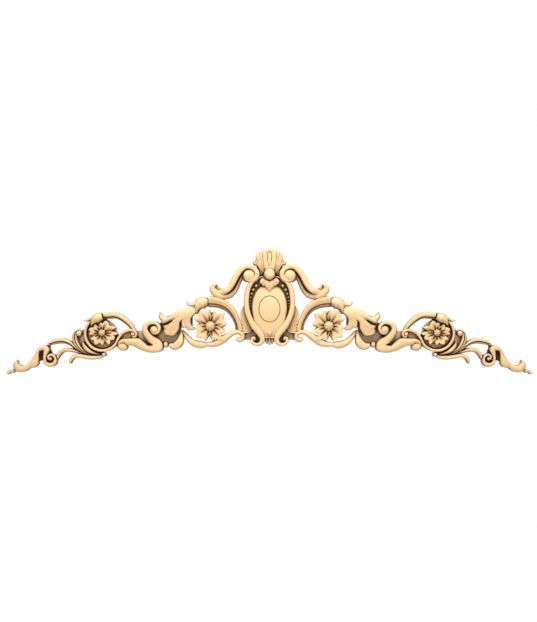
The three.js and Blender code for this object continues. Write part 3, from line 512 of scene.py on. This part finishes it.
# The arm and the S scroll. A leafy arm starts from a ball, runs along the lower edge and
# turns into the biggest scroll, which coils round its eye.
ARM_TOP = 20
SCROLL_TOP = 24
SCROLL_EYE_TOP = 26
CHANNEL_TOP = 14
BEAD_TOP = 21
BEND_PLACES = (0.3, 0.6, 0.78, 0.88, 0.95, 1)
BEND_DROPS = np.array((0, 0, 0.3, 1.2, 2.8, 5.5))
scroll_eye = (115.7, -19.7)
scroll_ball = (114.4, -20.9)
right_half += [
    dome((146.3, -37.7), 5, ARM_TOP - 0.5, high=4.1),
    plate([(149.5, -36.5), (146, -33.5), (141.5, -33.5), (142.5, -37), (146, -39)], COVE_TOP),
    moulding([(150.2, -36.6, 0.9), (149, -33.7, 1.8), (145.5, -32, 2.4), (141.5, -32.8, 3.4),
              (136.5, -33, 3.8), (131.5, -34, 4.8), (126.5, -37, 4.3), (121.5, -39.6, 3.3),
              (115.5, -40.2, 3.4), (112, -40, 3)],
             [RING_TOP, ARM_TOP, ARM_TOP, SCROLL_TOP - 2, SCROLL_TOP - 3], lean=-1, lanes=14),
    rimmed((112, -37), [(113.5, -27.5), (109.5, -30.2), (107.5, -32.4), (106.2, -34.4), (105.6, -37.5),
                        (105.7, -39.5), (106.7, -41.2), (109.5, -42.8), (114.5, -43.4), (119.5, -42.7),
                        (124.5, -41.2), (123.5, -36.6), (117.8, -36.4), (116.4, -35.9), (116.2, -35),
                        (118, -33.9), (121, -31.6), (118.3, -28)],
           BEND_PLACES, SCROLL_TOP - 2 - BEND_DROPS, SCROLL_TOP - 2),
    moulding([(110, -37, 3), (112.2, -34.8, 3.6), (117, -30.3, 4.2), (121.3, -25.6, 3.6),
              (123.6, -20.7, 3.05), (122.3, -16.2, 2.7), (117.5, -13.8, 2), (112.3, -14.6, 1.8),
              (109.5, -18.6, 2), (110.6, -22.8, 1.7), (113.7, -24.3, 1.4), (116.5, -23.2, 1.4),
              (117.2, -21.6, 1.3)],
             [SCROLL_TOP - 3, SCROLL_TOP, SCROLL_TOP, SCROLL_TOP], lanes=14, domed=(True, True)),
    plate([(118, -30), (113, -22), (108, -24), (110, -32)]),
    dome(scroll_ball, 4.2, SCROLL_EYE_TOP),
    dome(scroll_eye, 6.5, CHANNEL_TOP, shoulder=2),
    plate([(132.5, -22), (126, -21.5), (122, -28), (115, -37), (121, -38.5), (129, -34), (134, -28)]),
    plate([(112, -24), (109, -13), (104, -14), (97, -24), (90, -24), (90, -31), (95, -35.5),
           (103.5, -35.5), (110, -34), (115, -28)]),
    dome((103.3, -35.6), 2.4, BEAD_TOP, high=2.9),
]

# The acanthus leaf. An upturned upper lobe and two notched lobes hang from one root under
# the inner husk, with veins drawn down them.
LEAF_TOP = 22
right_half += [
    plate([(74, 0), (90, -2), (104, -8), (107, -17), (105, -31), (91, -31), (88, -18), (85.5, -18),
           (77, -20), (77, -8)]),
    leaf([(72.5, 2), (79.5, 1), (82.5, 1.2), (85.5, 0.8), (89.5, -0.8), (94.5, -3.5), (98.5, -6.3),
          (101.5, -7.8), (105, -7), (107.5, -5), (109.2, -3)],
         [(75.5, -6.5), (84.5, -10), (91, -11.4), (95.5, -11.2), (98.5, -11.7), (101.5, -13.3),
          (105.5, -14.5), (107.3, -14.6), (107.7, -12), (109.5, -10), (110.3, -7), (109.8, -3.3)],
         [LEAF_TOP - 2, LEAF_TOP, LEAF_TOP + 1, LEAF_TOP - 2], lanes=16, bulge=2.1, cuts=[(0.72, 0.12, 1)]),
    leaf([(79.5, -1), (87.5, -4.6), (94, -8.6), (97.2, -12.2), (101.3, -15.2), (105.2, -16.2),
          (106, -16.8), (105.7, -18.5), (104.5, -19.5), (105.7, -21.5), (105.2, -24), (104, -25.3),
          (101, -25.8), (99.2, -25)],
         [(77.5, -6), (83.5, -9.2), (87.7, -11.7), (89.2, -13.5), (89.5, -16), (90, -19.5), (92, -23),
          (94, -25.8), (96, -26.7), (98, -26), (98.9, -25.2)],
         [LEAF_TOP - 1, LEAF_TOP, LEAF_TOP - 2, LOBE_TOP - 1], shoulder=4, lanes=16,
         cuts=[(-0.45, 0.2, 0.9), (0.05, 0.16, 1), (0.5, 0.2, 0.8)]),
    leaf([(75, -1), (84, -7), (87, -10.6), (87.6, -14), (87.2, -17), (86.2, -19.3), (84.2, -18.2),
          (82, -20.3), (79.5, -21.3), (76.5, -20.8), (74.3, -19.3)],
         [(72.5, -2), (74, -4.8), (75.5, -5.8), (77.5, -8.5), (78.5, -11.5), (78, -15), (76.5, -17.5),
          (74.5, -19)],
         [LEAF_TOP - 1, LEAF_TOP, LEAF_TOP - 2, LOBE_TOP - 2], shoulder=4, lanes=16,
         cuts=[(-0.35, 0.2, 0.9), (0.25, 0.2, 0.8)]),
]

# The lower bands. A rounded lobe and two smooth bands run under the inner flower and end
# in a hooked curl beside the shield.
right_half += [
    moulding([(99.7, -35.5, 1.6), (97, -37, 3.2), (93.5, -36.8, 3.9), (90, -33.7, 3.9), (88.5, -29.3, 3.1),
              (87.9, -25, 2), (87.9, -21, 0.6)], [LOBE_TOP, LOBE_TOP, GROUND + 6], lanes=12),
    moulding([(87.7, -21, 0.6), (85.2, -24, 1.6), (81.7, -28.8, 2.4), (77.5, -32.9, 3), (72, -35.3, 3.5),
              (67, -35.8, 3.5), (62.6, -35.6, 1.8)],
             [GROUND + 6, LOBE_TOP - 2, LOBE_TOP, LOBE_TOP], lanes=12),
    moulding([(64, -35.4, 1.7), (57.5, -35.2, 2.8), (52, -33.6, 3.6), (46.5, -30.3, 3.9),
              (41.5, -26.8, 3.2), (37, -24.2, 2.5), (32.5, -22.9, 2.4), (28.5, -23.8, 2.4),
              (26.4, -27, 2.1), (27.6, -29.9, 2.4), (30.3, -30.7, 2.3), (33.4, -29.4, 1.4)],
             [LOBE_TOP, LOBE_TOP, LOBE_TOP - 1], lanes=12),
]

# The inner flower. Its four petals are cut like those of the outer one, wider and with a
# bolder heart, and it stands under the inner arch.
INNER_BOSS_TOP = 24
right_half += flower(
    (59, -17),
    [(23.5, 17.6), (36, 14.5), (55, 18.3), (73.7, 14.3), (85.8, 16.5), (98, 12.8),
     (103.6, 15.7), (113.7, 13.7), (136.7, 19), (155.6, 13.5), (174.4, 16.3), (187, 12.4),
     (201.1, 16.1), (215.6, 12.5), (230, 19.2), (250.7, 13), (260.7, 15.5), (276, 9.6),
     (287.7, 15.7), (298.9, 13.5), (320.6, 18.1), (341, 13.9), (355, 15), (372.8, 11.3)],
    PETAL_TOP + 1, 4.9, INNER_BOSS_TOP, 0.03)

# The inner husk and arch. The same bud and arch as over the outer flower are cut larger,
# and the arch has a second, finer line beside its groove.
right_half += husk(
    [(61.6, 6.7, 4.2), (65, 6.8, 5.5), (69.5, 4.8, 6), (72, 0.8, 3.6), (72.5, -2.5, 2), (72.6, -5.2, 0.5)],
    [(71.5, 5.5, 2.6), (75.5, 4.5, 2), (79, 4, 1.5), (81.5, 5.3, 1.1), (82.9, 7.7, 0.4)],
    [(67, 6, 4.2), (59, 7, 4.2)])
right_half.append(moulding(
    [(60.7, 7.1, 5.3), (55.5, 7.1, 5.5), (48.5, 5.4, 5), (41.4, 1.5, 4.5), (36.5, -4.2, 3.9),
     (33.1, -10.9, 3.4), (31.1, -16.5, 3.5), (30.4, -21.8, 3.6)],
    [ARCH_TOP + 1, ARCH_TOP, ARCH_TOP - 2], cuts=[(0.38, 0.17, 2.6), (0.8, 0.1, 0.9)], lean=-4, lanes=16))

# The upper scroll. A bright band sweeps up from a rolled leaf end and coils round a big
# eye, with a deep cove along its lower side.
UPPER_SCROLL_TOP = 25
LEAF_END_TOP = 19
upper_eye = (21.4, 34.2)
upper_ball = (20.2, 33)
right_half += [
    moulding([(53, 15, 2.4), (50.2, 16, 3), (46.5, 17.2, 3.2), (42, 18.9, 2.9), (38.4, 22.4, 2.8),
              (35.2, 28, 2.9), (32.5, 33.5, 3), (28.8, 38.5, 3), (24, 41.7, 2.6), (19, 41.6, 2.4),
              (14.3, 39, 2.6), (12.2, 34.4, 2.75), (14.4, 29.9, 2.8), (18.6, 28.4, 2.2), (22.5, 29.5, 2),
              (25, 32.2, 1.5)],
             [LEAF_END_TOP, *[UPPER_SCROLL_TOP] * 8], lanes=14, bulge=2.8, domed=(True, True)),
    moulding([(26.5, 34.5, 1.2), (29, 29.5, 1.9), (31.5, 23.8, 2.1), (34.7, 18.2, 2.4), (39.5, 14, 2.9),
              (44.5, 12.9, 3.4), (49.5, 13.7, 3.6), (54, 16.2, 3.7), (56.4, 20, 3.2), (55, 23.2, 2),
              (52.5, 24.4, 0.9)],
             [CHANNEL_TOP + 2, CHANNEL_TOP + 1, CHANNEL_TOP + 1, LEAF_END_TOP, LEAF_END_TOP + 2,
              LEAF_END_TOP + 4, LEAF_END_TOP + 4], shoulder=4.5, bulge=2.1, lanes=14),
    plate([(55, 22), (52.3, 23.4), (50.8, 22.4), (48.5, 20.5), (45.5, 19.8), (42, 15), (48, 14), (55, 16)],
          CHANNEL_TOP + 3),
    plate([(45, 17), (38, 15.5), (32, 22), (27, 32), (30, 35), (37, 26)], COVE_TOP),
    dome(upper_ball, 6, UPPER_SCROLL_TOP + 2),
    dome(upper_eye, 8, CHANNEL_TOP, high=7.5, shoulder=2),
]

# The shield border. A smooth band runs down each side of the shield into a small coil, and
# a row of dwindling beads lies in the channel inside it.
BORDER_TOP = 24
right_half += [
    moulding([(13.5, 29.5, 1.6), (17.8, 26, 2.2), (21.3, 19.5, 2.6), (22.6, 11, 2.6), (22.7, 3.5, 2.7),
              (21.5, -4, 2.9), (18.8, -11, 3), (15, -17.5, 3.3), (10.5, -22.5, 3.6), (7.5, -27.5, 3.2),
              (7.2, -31.2, 2.6), (9.3, -34.4, 2), (12.8, -35.2, 1.6), (16, -34, 1.6), (17.6, -31, 1.6),
              (16.6, -28.8, 1.5), (14.4, -28.9, 1.6)],
             [BORDER_TOP, BORDER_TOP, BORDER_TOP, BORDER_TOP - 2], lanes=12, bulge=3),
    dome((15, -29.8), 2, BORDER_TOP - 2),
    plate([(12, -22), (8, -28), (9, -35), (16, -34), (18, -31), (25, -31), (27, -18), (16, -14)]),
    *[dome((out, up), radius, BEAD_TOP, sides=20, rings=6) for out, up, radius in (
        (13.2, 23.1, 2.1), (16.2, 19, 1.8), (17.9, 15, 1.5), (18.8, 11.4, 1.2), (19.2, 8.1, 1),
        (19.3, 5.2, 0.9), (19.2, 2.5, 0.8))],
]

# The side fan. Ribs spread from the foot of the border into the corner by the arch, with
# shallow furrows between them that nick the rim.
FAN_TOP = 15
FAN_START, FAN_RINGS = 0.12, 10
FURROW_STEPS, FURROW_DEPTH, RIM_DIP = 6, 0.7, 0.012
fan_foot = (16.5, -23)
fan_rim = [(71, 28), (60, 24.5), (50, 20), (40, 14.5), (27, 12), (12, 10.8), (-7, 9)]


def rayed(centre, rays):
    """A wedge of rays from a centre: each ray is an angle, a radius and heights along it."""
    share = np.linspace(FAN_START, 1, FAN_RINGS)
    grid = np.empty((len(rays), FAN_RINGS, 3))
    for row, (angle, radius, profile) in zip(grid, rays):
        row[:, 0] = centre[0] + radius * share * math.cos(math.radians(angle))
        row[:, 1] = centre[1] + radius * share * math.sin(math.radians(angle))
        row[:, 2] = np.interp(share, np.linspace(0, 1, len(profile)), profile)
    return relief(grid)


fan_rays = []
for (angle, radius), (next_angle, next_radius) in zip(fan_rim, fan_rim[1:]):
    for share in np.arange(FURROW_STEPS) / FURROW_STEPS:
        furrow = FURROW_DEPTH * (1 - abs(2 * share - 1)) ** 2
        fan_rays.append((angle + (next_angle - angle) * share,
                         (radius + (next_radius - radius) * share) * (1 - RIM_DIP * furrow),
                         (FAN_TOP - 2, FAN_TOP - furrow, FAN_TOP - furrow)))
fan_rays.append((*fan_rim[-1], (FAN_TOP - 2, FAN_TOP, FAN_TOP)))
right_half.append(rayed(fan_foot, fan_rays))

# The shield. A gently domed plate carries the oval medallion behind an incised line, with
# a boss and a ribbed pendant below it.
SHIELD_EDGE_TOP = 22
SHIELD_TOP = 26
MEDALLION_TOP = 28
PENDANT_TOP = 18
LINE_WIDTH, LINE_DEPTH = 1.0, 1.2
FIELD_STEP = 0.7
ROUNDING_SLOPE, ROUNDING_START = 2.2, 1.2
MEDALLION_WIDE, MEDALLION_HIGH, MEDALLION_SIDES = 10.4, 12.9, 90
shield_edge = [(0, 26.5), (3, 25.8), (7.5, 23), (9, 22), (11, 20), (13, 17.5), (14.5, 15), (15.5, 12.5),
               (16.7, 9), (17.5, 4), (17.6, -1), (17, -6), (16.2, -11), (15, -15.5), (12, -20), (8.5, -24),
               (6, -26.5), (4.5, -28), (0, -28.5)]
floor_edge = [(0, 29), (14, 28), (21, 18), (22.5, 4), (21, -6), (15, -16), (7, -24), (0, -26)]


def mirrored(right_edge, step):
    """A closed outline: even points down the right edge and back up its mirror image."""
    right = path([(*point, 0) for point in right_edge], step)[0][:, :2]
    return np.vstack([right, right[-2:0:-1] * (-1, 1)])


def framed(centre, right_edge, line, line_width, levels, shoulder):
    """A symmetric field with an incised line: levels at the middle, the line and the edge."""
    at_middle, at_line, at_edge = levels
    rim = mirrored(right_edge, FIELD_STEP)[::-1]
    away = rim - centre
    reach = np.linalg.norm(away, axis=1)
    line_away = np.array(line) - centre
    line_turns = np.arctan2(line_away[:, 1], line_away[:, 0])
    order = np.argsort(line_turns)
    line_reach = np.interp(np.arctan2(away[:, 1], away[:, 0]), line_turns[order],
                           np.linalg.norm(line_away, axis=1)[order], period=2 * math.pi)
    inside = np.array((0.2, 0.4, 0.6, 0.8, 0.92))
    lips = np.array((-1, -0.5, 0, 0.5, 1)) * line_width / 2
    outside = np.array((0.2, 0.4, 0.6, 0.75, 0.86, 0.94, 1))
    starts = line_reach - line_width
    beyond = (line_reach + line_width / 2)[:, None]
    left_over = (reach - line_reach - line_width / 2)[:, None]
    stations = np.hstack([starts[:, None] * inside, line_reach[:, None] + lips, beyond + left_over * outside])
    heights_inside = at_line + (at_middle - at_line) * (1 - inside ** 2)
    heights_line = at_line - LINE_DEPTH * np.array((0, 0.8, 1, 0.8, 0))
    rounding = np.clip(outside * ROUNDING_SLOPE - ROUNDING_START, 0, 1)
    heights_outside = at_line + (at_edge - at_line) * outside - shoulder * (1 - np.sqrt(1 - rounding ** 2))
    tops = np.concatenate([heights_inside, heights_line, heights_outside])
    return rimmed(centre, rim, stations / reach[:, None], tops, at_middle)


medallion_turns = np.linspace(0, 2 * math.pi, MEDALLION_SIDES, endpoint=False)
medallion = [(MEDALLION_WIDE * math.cos(turn), MEDALLION_HIGH * math.sin(turn)) for turn in medallion_turns]
middle += [
    plate(floor_edge + [(-out, up) for out, up in floor_edge[-2:0:-1]], CHANNEL_TOP),
    framed((0, 0), shield_edge, medallion, LINE_WIDTH, (MEDALLION_TOP, SHIELD_TOP, SHIELD_EDGE_TOP + 1), 4),
    dome((0, -23.8), 3, SHIELD_TOP + 1),
    moulding([(-4.5, -28, 1.2), (4.5, -28, 1.2)], SHIELD_EDGE_TOP),
    *[moulding([(out, -27, 1.6), (out, -32.5, 1.4), (out * 0.8, -36 + abs(out) * 0.4, 0.7)],
               [PENDANT_TOP, PENDANT_TOP, PENDANT_TOP - 4]) for out in (-3, 0, 3)],
]

# The crown. Five shell lobes stand over the pearl, and a small pleated collar hangs from
# it onto the shield.
SHELL_TOP = 23
COLLAR_TOP = 28
PEARL_TOP = 30
PEARL_RISE = 1.2
TEARDROP_WIDTH = 0.8
GROOVE_DEPTH, GROOVE_REACH, GROOVE_WALL = 6, 7.4, 1.6
PLEATS, PLEAT_SPREAD, PLEAT_DEPTH = (42, 25, 6, -6, -25, -42), 4, 0.9
PLEAT_RISE, PLEAT_START = 2, 0.6
COLLAR_PLACES = np.array((0.3, 0.36, 0.45, 0.6, 0.7, 0.8, 0.9, 0.96, 1))
COLLAR_DROPS = np.array((0, 0, 0, 0.1, 0.2, 0.5, 0.9, 1.6, 3))
collar_middle = (0, 33)
pearl_middle = (0, collar_middle[1] + PEARL_RISE)
lobe_middle = (0, 51)
centre_lobe = [(0, 61), (3.2, 60.4), (5.3, 58.8), (6.6, 56.5), (7, 53.5), (6.8, 49), (6.6, 46),
               (6.1, 43), (5, 39.5), (3, 36), (0, 35)]
teardrop = [(0, 57.2), (1.5, 56.1), (2.2, 54.4), (2.1, 50.5), (1.3, 46), (0, 42.9)]
side_lobes = [
    ([(3, 38), (4.4, 43), (4.7, 47), (4.7, 51), (5.4, 55.5), (7.6, 57), (9.6, 57)],
     [(7.5, 36), (9.6, 41), (11.2, 45), (13, 49.2), (13.8, 52), (13, 54.5), (11, 56.3)], SHELL_TOP - 1),
    ([(5.5, 37), (7.8, 42), (9.3, 46), (11.2, 49.2), (13.6, 49.2)],
     [(9.2, 32.5), (9.6, 37), (11, 40.5), (13.2, 43.4), (15.5, 43.7), (16.5, 45), (16.3, 47), (15.2, 48.2)],
     SHELL_TOP - 2),
]
collar_side = [(6, 31), (8.5, 29.5), (9.7, 27.5), (9.2, 25.5), (7.5, 24), (6.5, 22.8), (5, 22.6), (3.8, 21.3),
               (2.5, 20), (1.2, 18.4), (0, 16.2)]
collar_upper_edge = [(-5, 34), (0, 36), (5, 34)]
collar_band = [(14, 26.8, 0.6), (11.5, 29.5, 1.2), (9.3, 31.4, 1.1), (6, 31.8, 0.8)]


def side_lobe(left, right, top, side):
    """One of the four lobes beside the middle one; side is -1 to the left."""
    edges = [[(side * out, up) for out, up in edge] for edge in (left, right)]
    return leaf(*edges, [top - 3, top, top, top - 1], shoulder=3, bulge=2.2, lanes=16,
                cuts=[(0.05, 0.14, 0.9), (-0.5, 0.14, 0.9)])


def collar():
    """The collar, with pleats down it and a groove round the pearl."""
    side = path([(*point, 0) for point in collar_side], EDGE_STEP)[0][:, :2]
    edge = np.vstack([side, side[-2::-1] * (-1, 1), collar_upper_edge])
    away = edge - collar_middle
    lean = np.degrees(np.arctan2(away[:, 0], -away[:, 1]))
    pleated = np.max(np.clip(1 - np.abs(lean[:, None] - PLEATS) / PLEAT_SPREAD, 0, 1), axis=1)[:, None]
    pleats = PLEAT_DEPTH * pleated * np.clip(COLLAR_PLACES * PLEAT_RISE - PLEAT_START, 0, 1)
    from_pearl = np.hypot(away[:, None, 0] * COLLAR_PLACES, away[:, None, 1] * COLLAR_PLACES - PEARL_RISE)
    groove = GROOVE_DEPTH * np.clip((GROOVE_REACH - from_pearl) / GROOVE_WALL, 0, 1)
    tops = COLLAR_TOP - pleats - COLLAR_DROPS - groove
    return rimmed(collar_middle, edge, COLLAR_PLACES, tops, COLLAR_TOP - GROOVE_DEPTH)


middle += [
    *[side_lobe(*lobe, side) for side in (-1, 1) for lobe in side_lobes],
    framed(lobe_middle, centre_lobe, mirrored(teardrop, EDGE_STEP), TEARDROP_WIDTH,
           (SHELL_TOP - 0.5, SHELL_TOP, SHELL_TOP - 0.5), 2.4),
    collar(),
    dome(pearl_middle, 5.7, PEARL_TOP, high=5.9, shoulder=8, sides=40, rings=12),
    plate([(0, 46), (13, 46), (13, 27), (0, 25), (-13, 27), (-13, 46)], COVE_TOP),
    *[moulding([(side * out, up, half) for out, up, half in collar_band], SHIELD_EDGE_TOP)
      for side in (-1, 1)],
]

# The board. All the carved forms are one piece of wood, so they are joined into a single
# closed body, with the right half mirrored to the left. Steep steps in it stay crisp.
EDGE_ANGLE = 38
forms = bpy.data.collections.new("forms")
bpy.context.scene.collection.children.link(forms)


def add_form(points, faces):
    """Puts one carved form among the others."""
    mesh = bpy.data.meshes.new("form")
    mesh.from_pydata(points, [], faces)
    form = bpy.data.objects.new("form", mesh)
    forms.objects.link(form)
    return form


added = [add_form(points, faces) for points, faces in middle + right_half]
added += [add_form(points * (-1, 1, 1), [face[::-1] for face in faces]) for points, faces in right_half]
first = added[0]
forms.objects.unlink(first)
bpy.context.collection.objects.link(first)
join = first.modifiers.new("join", "BOOLEAN")
join.operation = "UNION"
join.solver = "MANIFOLD"
join.operand_type = "COLLECTION"
join.collection = forms
carved_mesh = bpy.data.meshes.new_from_object(first.evaluated_get(bpy.context.evaluated_depsgraph_get()))
for form in added:
    bpy.data.objects.remove(form)
bpy.data.collections.remove(forms)
carved_mesh.shade_smooth()
carved_mesh.set_sharp_from_angle(angle=math.radians(EDGE_ANGLE))
panel = bpy.data.objects.new("carved_panel", carved_mesh)
bpy.context.collection.objects.link(panel)

# The wood. Pale, close-grained and smoothly sanded: honey on the crowns, with fine grain along the
# board. Shade is painted into the colour: darker honey among taller forms, browner where the surface
# is less open to light, dark brown on steep sides, greyer brown on low ground facing the front and
# nearly black in narrow cuts and on the lowest floors.
PALE_HONEY = (0.83, 0.59, 0.335, 1)
WARM_HONEY = (0.76, 0.515, 0.28, 1)
# From here down the colours are painted shade, not the wood's own colour.
PAINTED_SHADE_HONEY = (0.33, 0.19, 0.09, 1)
PAINTED_SLOPE_SHADE = (0.30, 0.155, 0.06, 1)
PAINTED_SIDE_SHADE = (0.16, 0.08, 0.032, 1)
PAINTED_DEEP_SHADE = (0.035, 0.015, 0.006, 1)
PAINTED_GROUND_SHADE = (0.55, 0.39, 0.265, 1)
OPEN_REACH, NARROW_REACH, WIDE_REACH = 0.018, 0.007, 0.055
OCCLUSION_SAMPLES = 16
SHADE_SHARE, SIDE_SHADE_SHARE, GROUND_SHADE_SHARE, SUNKEN_SHADE_SHARE = 0.62, 0.8, 0.85, 0.9
PEARL_HEIGHT = PEARL_TOP * MILLIMETRE
GRAIN_STRETCH = (6, 90, 60)
GRAIN_SHARE, PORE_SHARE = 0.7, 0.3
GRAIN_STRENGTH, GRAIN_DEPTH = 0.12, 0.0004
SMOOTHEST, GRAIN_ROUGHNESS = 0.52, 0.16
SHEEN_LEVEL = 0.35


def noise(places, scale, detail, roughness):
    """Noise over places, coarse or fine by its scale."""
    return places.node("ShaderNodeTexNoise", None,
                       {"Vector": places, "Scale": scale, "Detail": detail, "Roughness": roughness})


def openness(reach):
    """How open the surface is to the light, judged over a reach in metres."""
    return place.node("ShaderNodeAmbientOcclusion", {"samples": OCCLUSION_SAMPLES}, {"Distance": reach}, "AO")


def along_depth(vector):
    """The part of a vector that points from the front to the back."""
    return vector.node("ShaderNodeSeparateXYZ", None, {0: vector}, "Y")


def ramp(value, *stops):
    """A grey that changes with a value, from [value, grey] stops."""
    greys = [(at, (grey, grey, grey, 1)) for at, grey in stops]
    return value.node("ShaderNodeValToRGB", {"stops": greys}, {"Fac": value})


wood = bpy.data.materials.new("carved_wood")
wood.use_nodes = True
shader = wood.node_tree.nodes["Principled BSDF"]
coordinates = wood.node_tree.nodes.new("ShaderNodeTexCoord")
place = Socket(wood.node_tree, coordinates.outputs["Object"])
facing = along_depth(Socket(wood.node_tree, coordinates.outputs["Normal"]))
height_above_back = along_depth(place) * (-1 / PEARL_HEIGHT)
stretched = place.node("ShaderNodeVectorMath", {"operation": "MULTIPLY"}, {0: place, 1: GRAIN_STRETCH})
grain = noise(stretched, scale=1.0, detail=5.0, roughness=0.62)
pores = noise(stretched, scale=9.0, detail=3.0, roughness=0.5)
# Masks for the painted shade: how open each place is to light, how steep it is and how low it lies.
slope_shade = ramp(openness(OPEN_REACH), (0.38, 1), (0.7, 0.35), (0.93, 0))
crevice_shade = ramp(openness(NARROW_REACH), (0.42, 1), (0.78, 0))
wide_shade = ramp(openness(WIDE_REACH), (0.45, 1), (0.97, 0))
towards_front = ramp(-1 * facing, (0.15, 0), (0.5, 1))
steep_side_shade = ramp(facing.maths("ABSOLUTE", facing, 0), (0.15, 1), (0.5, 0))
low_ground_shade = ramp(height_above_back, (0.3, 1), (0.38, 0))
sunken_shade = ramp(height_above_back, (0.11, 1), (0.15, 0))
# Painted shade: the honey darkens where taller forms stand round a place, judged by a wide occlusion.
honey_with_painted_shade = (SHADE_SHARE * wide_shade).mixed(grain.mixed(WARM_HONEY, PALE_HONEY), PAINTED_SHADE_HONEY)
# Painted shade: browner where the surface is less open to light.
slope_shaded = slope_shade.mixed(honey_with_painted_shade, PAINTED_SLOPE_SHADE)
# Painted shade: steep sides, turned away from the front, are painted dark brown.
shaded = (SIDE_SHADE_SHARE * steep_side_shade).mixed(slope_shaded, PAINTED_SIDE_SHADE)
# Painted shade: low ground facing the front is painted a greyer, darker brown than the crowns.
ground_shaded = (GROUND_SHADE_SHARE * low_ground_shade * towards_front).mixed(shaded, PAINTED_GROUND_SHADE)
# Painted shade: narrow closed cuts and the lowest floors facing the front are painted nearly black.
wood_with_painted_shade = (crevice_shade * slope_shade + SUNKEN_SHADE_SHARE * sunken_shade * towards_front).mixed(ground_shaded, PAINTED_DEEP_SHADE)
wood_with_painted_shade.into(shader, "Base Color")
(SMOOTHEST + GRAIN_ROUGHNESS * grain).into(shader, "Roughness")
surface = GRAIN_SHARE * grain + PORE_SHARE * pores
bumped = surface.node("ShaderNodeBump", None,
                      {"Strength": GRAIN_STRENGTH, "Distance": GRAIN_DEPTH, "Height": surface}, "Normal")
bumped.into(shader, "Normal")
shader.inputs["Specular IOR Level"].default_value = SHEEN_LEVEL
panel.data.materials.clear()
panel.data.materials.append(wood)
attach(panel, "root")
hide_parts("floral_panel")
